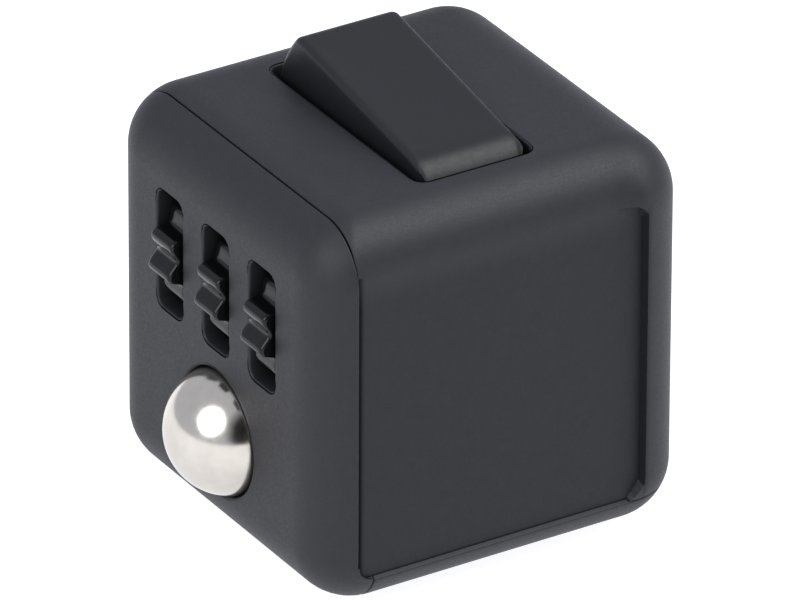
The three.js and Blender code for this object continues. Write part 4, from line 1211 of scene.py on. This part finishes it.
@dataclass
class Joystick:
    """The stick with its sealing dome and pivot pins, and the dished rubber cap."""

    pivot_depth: float = 6.0
    dome_radius: float = 7.05
    dome_wall: float = 0.8
    dome_deg: float = 56
    stem: float = 1.4
    stem_top: float = 3.4
    tail: float = 2.4
    tail_radius: float = 1.9
    cap_radius: float = 3.9
    cap_low: float = 2.4
    cap_high: float = 3.8
    pin: float = 0.45
    pin_reach: float = 3.3

    def build(self) -> list[bpy.types.Object]:
        """Make the stick and its cap, turned about the -X axis."""
        face = np.array([-HALF, 0.0, 0.0])
        centre = -self.pivot_depth
        big, small = self.dome_radius, self.dome_radius - self.dome_wall
        up = 90 - math.degrees(math.asin(self.stem / big))
        up_in = 90 - math.degrees(math.asin(self.stem / small))
        tail = centre - self.tail
        profile = profile_of(
            (0, tail), arc((self.tail_radius - 0.12, tail + 0.12), 0.12, -90, 0, 3),
            (self.tail_radius, tail + 0.5), (self.stem, tail + 0.5),
            arc((0, centre), small, up_in, 90 - self.dome_deg, 14),
            arc((0, centre), big, 90 - self.dome_deg, up, 18),
            (self.stem, self.stem_top), (0, self.stem_top),
        )
        surface = Surface()
        lathe(surface, profile, face, -X, 96)
        for side in (-1, 1):
            pin = profile_of((0, 0.6), (self.pin, 0.6), (self.pin, self.pin_reach), (0, self.pin_reach))
            lathe(surface, pin, face + self.pivot_depth * X, side * Y, 24)
        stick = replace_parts(surface.to_object("stick_and_dome", BUTTON_ABS, "stick"), "joystick_stick")
        return [stick, self.cap(face)]

    def cap(self, face: Array) -> bpy.types.Object:
        """The rubber cap: a disc with a rolled rim, a dish, and a socket for the stem."""
        r, low, high, e = self.cap_radius, self.cap_low, self.cap_high, 0.5
        dish_r = np.linspace(r - e - 0.1, 0, 10)[1:]
        dish_h = high - 0.4 * smooth_step((r - e - 0.1 - dish_r) / 1.6)
        socket = self.stem + 0.05
        profile = profile_of(
            (0, self.stem_top + 0.05), (socket, self.stem_top + 0.05), (socket, low),
            arc((r - e, low + e), e, -90, 0), arc((r - e, high - e), e, 0, 90), (r - e - 0.1, high),
            columns(dish_r, dish_h),
        )
        surface = Surface()
        lathe(surface, profile, face, -X, 96)
        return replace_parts(surface.to_object("rubber_stick_cap", CAP_RUBBER, "stick"), "joystick_cap")


# ---- Spin dial ----

@dataclass
class SpinDial:
    """The dial under the cube, with an off-centre finger dimple."""

    radius: float = 9.75
    proud: float = 1.0
    sunk: float = 0.9
    edge: float = 0.4
    dimple_x: float = 5.2
    dimple_radius: float = 3.0
    dimple_depth: float = 0.8
    dimple_slope: float = 1.6
    post: float = 1.8

    def dimpled(self, points: Array) -> Array:
        """Press the dimple into the underside: depth times the smooth step of slope (1 - d / r)."""
        away = np.hypot(points[..., 0] - self.dimple_x, points[..., 1]) / self.dimple_radius
        outer = points[..., 2] < -HALF - self.proud + 0.05
        bowl = self.dimple_depth * smooth_step(self.dimple_slope * (1 - away)) * outer
        moved = points.copy()
        moved[..., 2] += bowl
        return moved

    def build(self) -> bpy.types.Object:
        """Make the dial: a profile turned about the -Z axis, then dimpled."""
        r, e, top = self.radius, self.edge, self.proud
        post_end = -(box_mm("spin_dial")[1][2] + HALF)
        face = np.linspace(r - e, 0, 60)[1:]
        profile = profile_of(
            (0, post_end), (self.post, post_end), (self.post, -self.sunk), (r - 0.1, -self.sunk),
            (r, -self.sunk + 0.1), (r, 0), arc((r - e, top - e), e, 0, 90),
            columns(face, top),
        )
        surface = Surface()
        lathe(surface, profile, np.array([0, 0, -HALF]), -Z, 160, self.dimpled)
        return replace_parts(surface.to_object("dimpled_dial", BUTTON_ABS, "dial"), "spin_dial")


# ---- Mechanism parts kept from the frame ----

class Mechanism:
    """The CAD nodes that stay as they are, in the finish of what they are made of."""

    STEEL = ("spring", "screw", "pin_", "washer", "shaft", "dome")

    def dress(self) -> int:
        """Dress every CAD node that still shows, and return how many there are."""
        shown = [o for o in frame["nodes"].values() if not o.hide_render]
        for node in shown:
            steel = any(word in node.name for word in self.STEEL)
            finish = ZINC_STEEL if steel else INNER_ACETAL
            node.data.materials.clear()
            node.data.materials.append(finish.material())
        return len(shown)


# ---- Studio ----

@dataclass
class Studio:
    """A pale floor, soft lights, a grey room and the camera."""

    azimuth_deg: float = 58.142
    elevation_deg: float = 28.567
    distance: float = 1.0433
    roll_deg: float = 0.26
    lens: float = 613.8
    shift: tuple[float, float] = (0.00125, -0.0021)
    light_distance: float = 0.5
    floor_radius: float = 2.0

    @staticmethod
    def away(azimuth_deg: float, elevation_deg: float) -> Vector:
        """Unit direction from the cube towards an azimuth, counted from -Y towards +X, and an elevation."""
        a, e = math.radians(azimuth_deg), math.radians(elevation_deg)
        return Vector((math.sin(a) * math.cos(e), -math.cos(a) * math.cos(e), math.sin(e)))

    @staticmethod
    def placed(name: str, data: bpy.types.ID) -> bpy.types.Object:
        """A new object in the scene."""
        made = bpy.data.objects.new(name, data)
        bpy.context.scene.collection.objects.link(made)
        return made

    def camera(self) -> None:
        """Place the camera on the line back from the cube's centre and level it to the roll."""
        a, roll = math.radians(self.azimuth_deg), math.radians(self.roll_deg)
        back = self.away(self.azimuth_deg, self.elevation_deg)
        right = Vector((math.cos(a), math.sin(a), 0))
        up = back.cross(right)
        side = right * math.cos(roll) + up * math.sin(roll)
        rise = up * math.cos(roll) - right * math.sin(roll)
        data = bpy.data.cameras.new("camera")
        data.lens = self.lens
        data.shift_x, data.shift_y = self.shift
        data.clip_start, data.clip_end = 0.05, 10
        eye = self.placed("camera", data)
        place = Matrix((side, rise, back)).transposed().to_4x4()
        place.translation = Vector(CENTRE * MM) + back * self.distance
        eye.matrix_world = place
        bpy.context.scene.camera = eye

    def light(self, name: str, azimuth_deg: float, elevation_deg: float, size: float, power: float) -> None:
        """A round soft light that faces the cube, `size` metres across and `power` watts."""
        back = self.away(azimuth_deg, elevation_deg)
        data = bpy.data.lights.new(name, "AREA")
        data.shape = "DISK"
        data.size = size
        data.energy = power
        lamp = self.placed(name, data)
        lamp.location = Vector(CENTRE * MM) + back * self.light_distance
        lamp.rotation_mode = "QUATERNION"
        lamp.rotation_quaternion = back.to_track_quat("Z", "Y")

    def floor(self) -> None:
        """A pale, faintly glowing floor disc, so that shadows stay light; it is clear from below."""
        angles = np.linspace(0, 2 * math.pi, 128, endpoint=False)
        ring = self.floor_radius * columns(np.cos(angles), np.sin(angles), 0)
        mesh = bpy.data.meshes.new("floor")
        mesh.from_pydata(ring.tolist(), [], [list(range(len(ring)))])
        floor = self.placed("floor", mesh)
        made = bpy.data.materials.new("white_paper_sweep")
        tree = empty_tree(made)
        shader = add_node(
            tree, "BsdfPrincipled", Base_Color=linear("#8c8c8c"), Roughness=0.9,
            Emission_Color=linear("#f8f8ff"), Emission_Strength=1.0,
        )
        clear = add_node(tree, "BsdfTransparent")
        under = add_node(tree, "NewGeometry").outputs["Backfacing"]
        paper = add_node(tree, "MixShader", _0=under, _1=shader.outputs[0], _2=clear.outputs[0])
        add_node(tree, "OutputMaterial", Surface=paper.outputs[0])
        mesh.materials.append(made)

    def build(self) -> None:
        """Set up the whole studio."""
        self.camera()
        self.floor()
        self.room()
        bpy.context.scene.view_settings.view_transform = "Standard"
        self.light("front_softbox", 18, 33, 0.44, 1.6)
        self.light("rear_right_softbox", 134, 52, 0.45, 2.6)

    def room(self) -> None:
        """A grey room that is darker towards +X, so that the ball has something dark to mirror."""
        world = bpy.data.worlds.new("grey_room")
        tree = empty_tree(world)
        way = add_node(tree, "TexCoord").outputs["Generated"]
        facing = add_node(tree, "VectorMath", {"operation": "DOT_PRODUCT"}, _0=way, _1=(0.95, 0.05, 0.3))
        share = add_node(tree, "MapRange", Value=facing.outputs["Value"], From_Min=0.72, From_Max=0.9)
        colour = add_node(
            tree, "Mix", {"data_type": "RGBA"}, _0=share.outputs[0],
            _6=linear("#e9ecf8"), _7=linear("#2a2a2c"),
        )
        sky = add_node(tree, "Background", Color=colour.outputs[2], Strength=0.8)
        add_node(tree, "OutputWorld", Surface=sky.outputs[0])
        bpy.context.scene.world = world


def main() -> None:
    """Build the studio and every sub-assembly in order."""
    logging.basicConfig(level=logging.INFO, format="%(name)s: %(message)s")
    Studio().build()
    shells = Shells()
    shells.main()
    shells.front()
    shells.base()
    Rocker().build()
    ThumbWheels().build()
    SteelBall().build()
    PushButtons().build()
    Joystick().build()
    SpinDial().build()
    LOG.info("%d mechanism nodes dressed", Mechanism().dress())


if __name__ == "__main__":
    main()
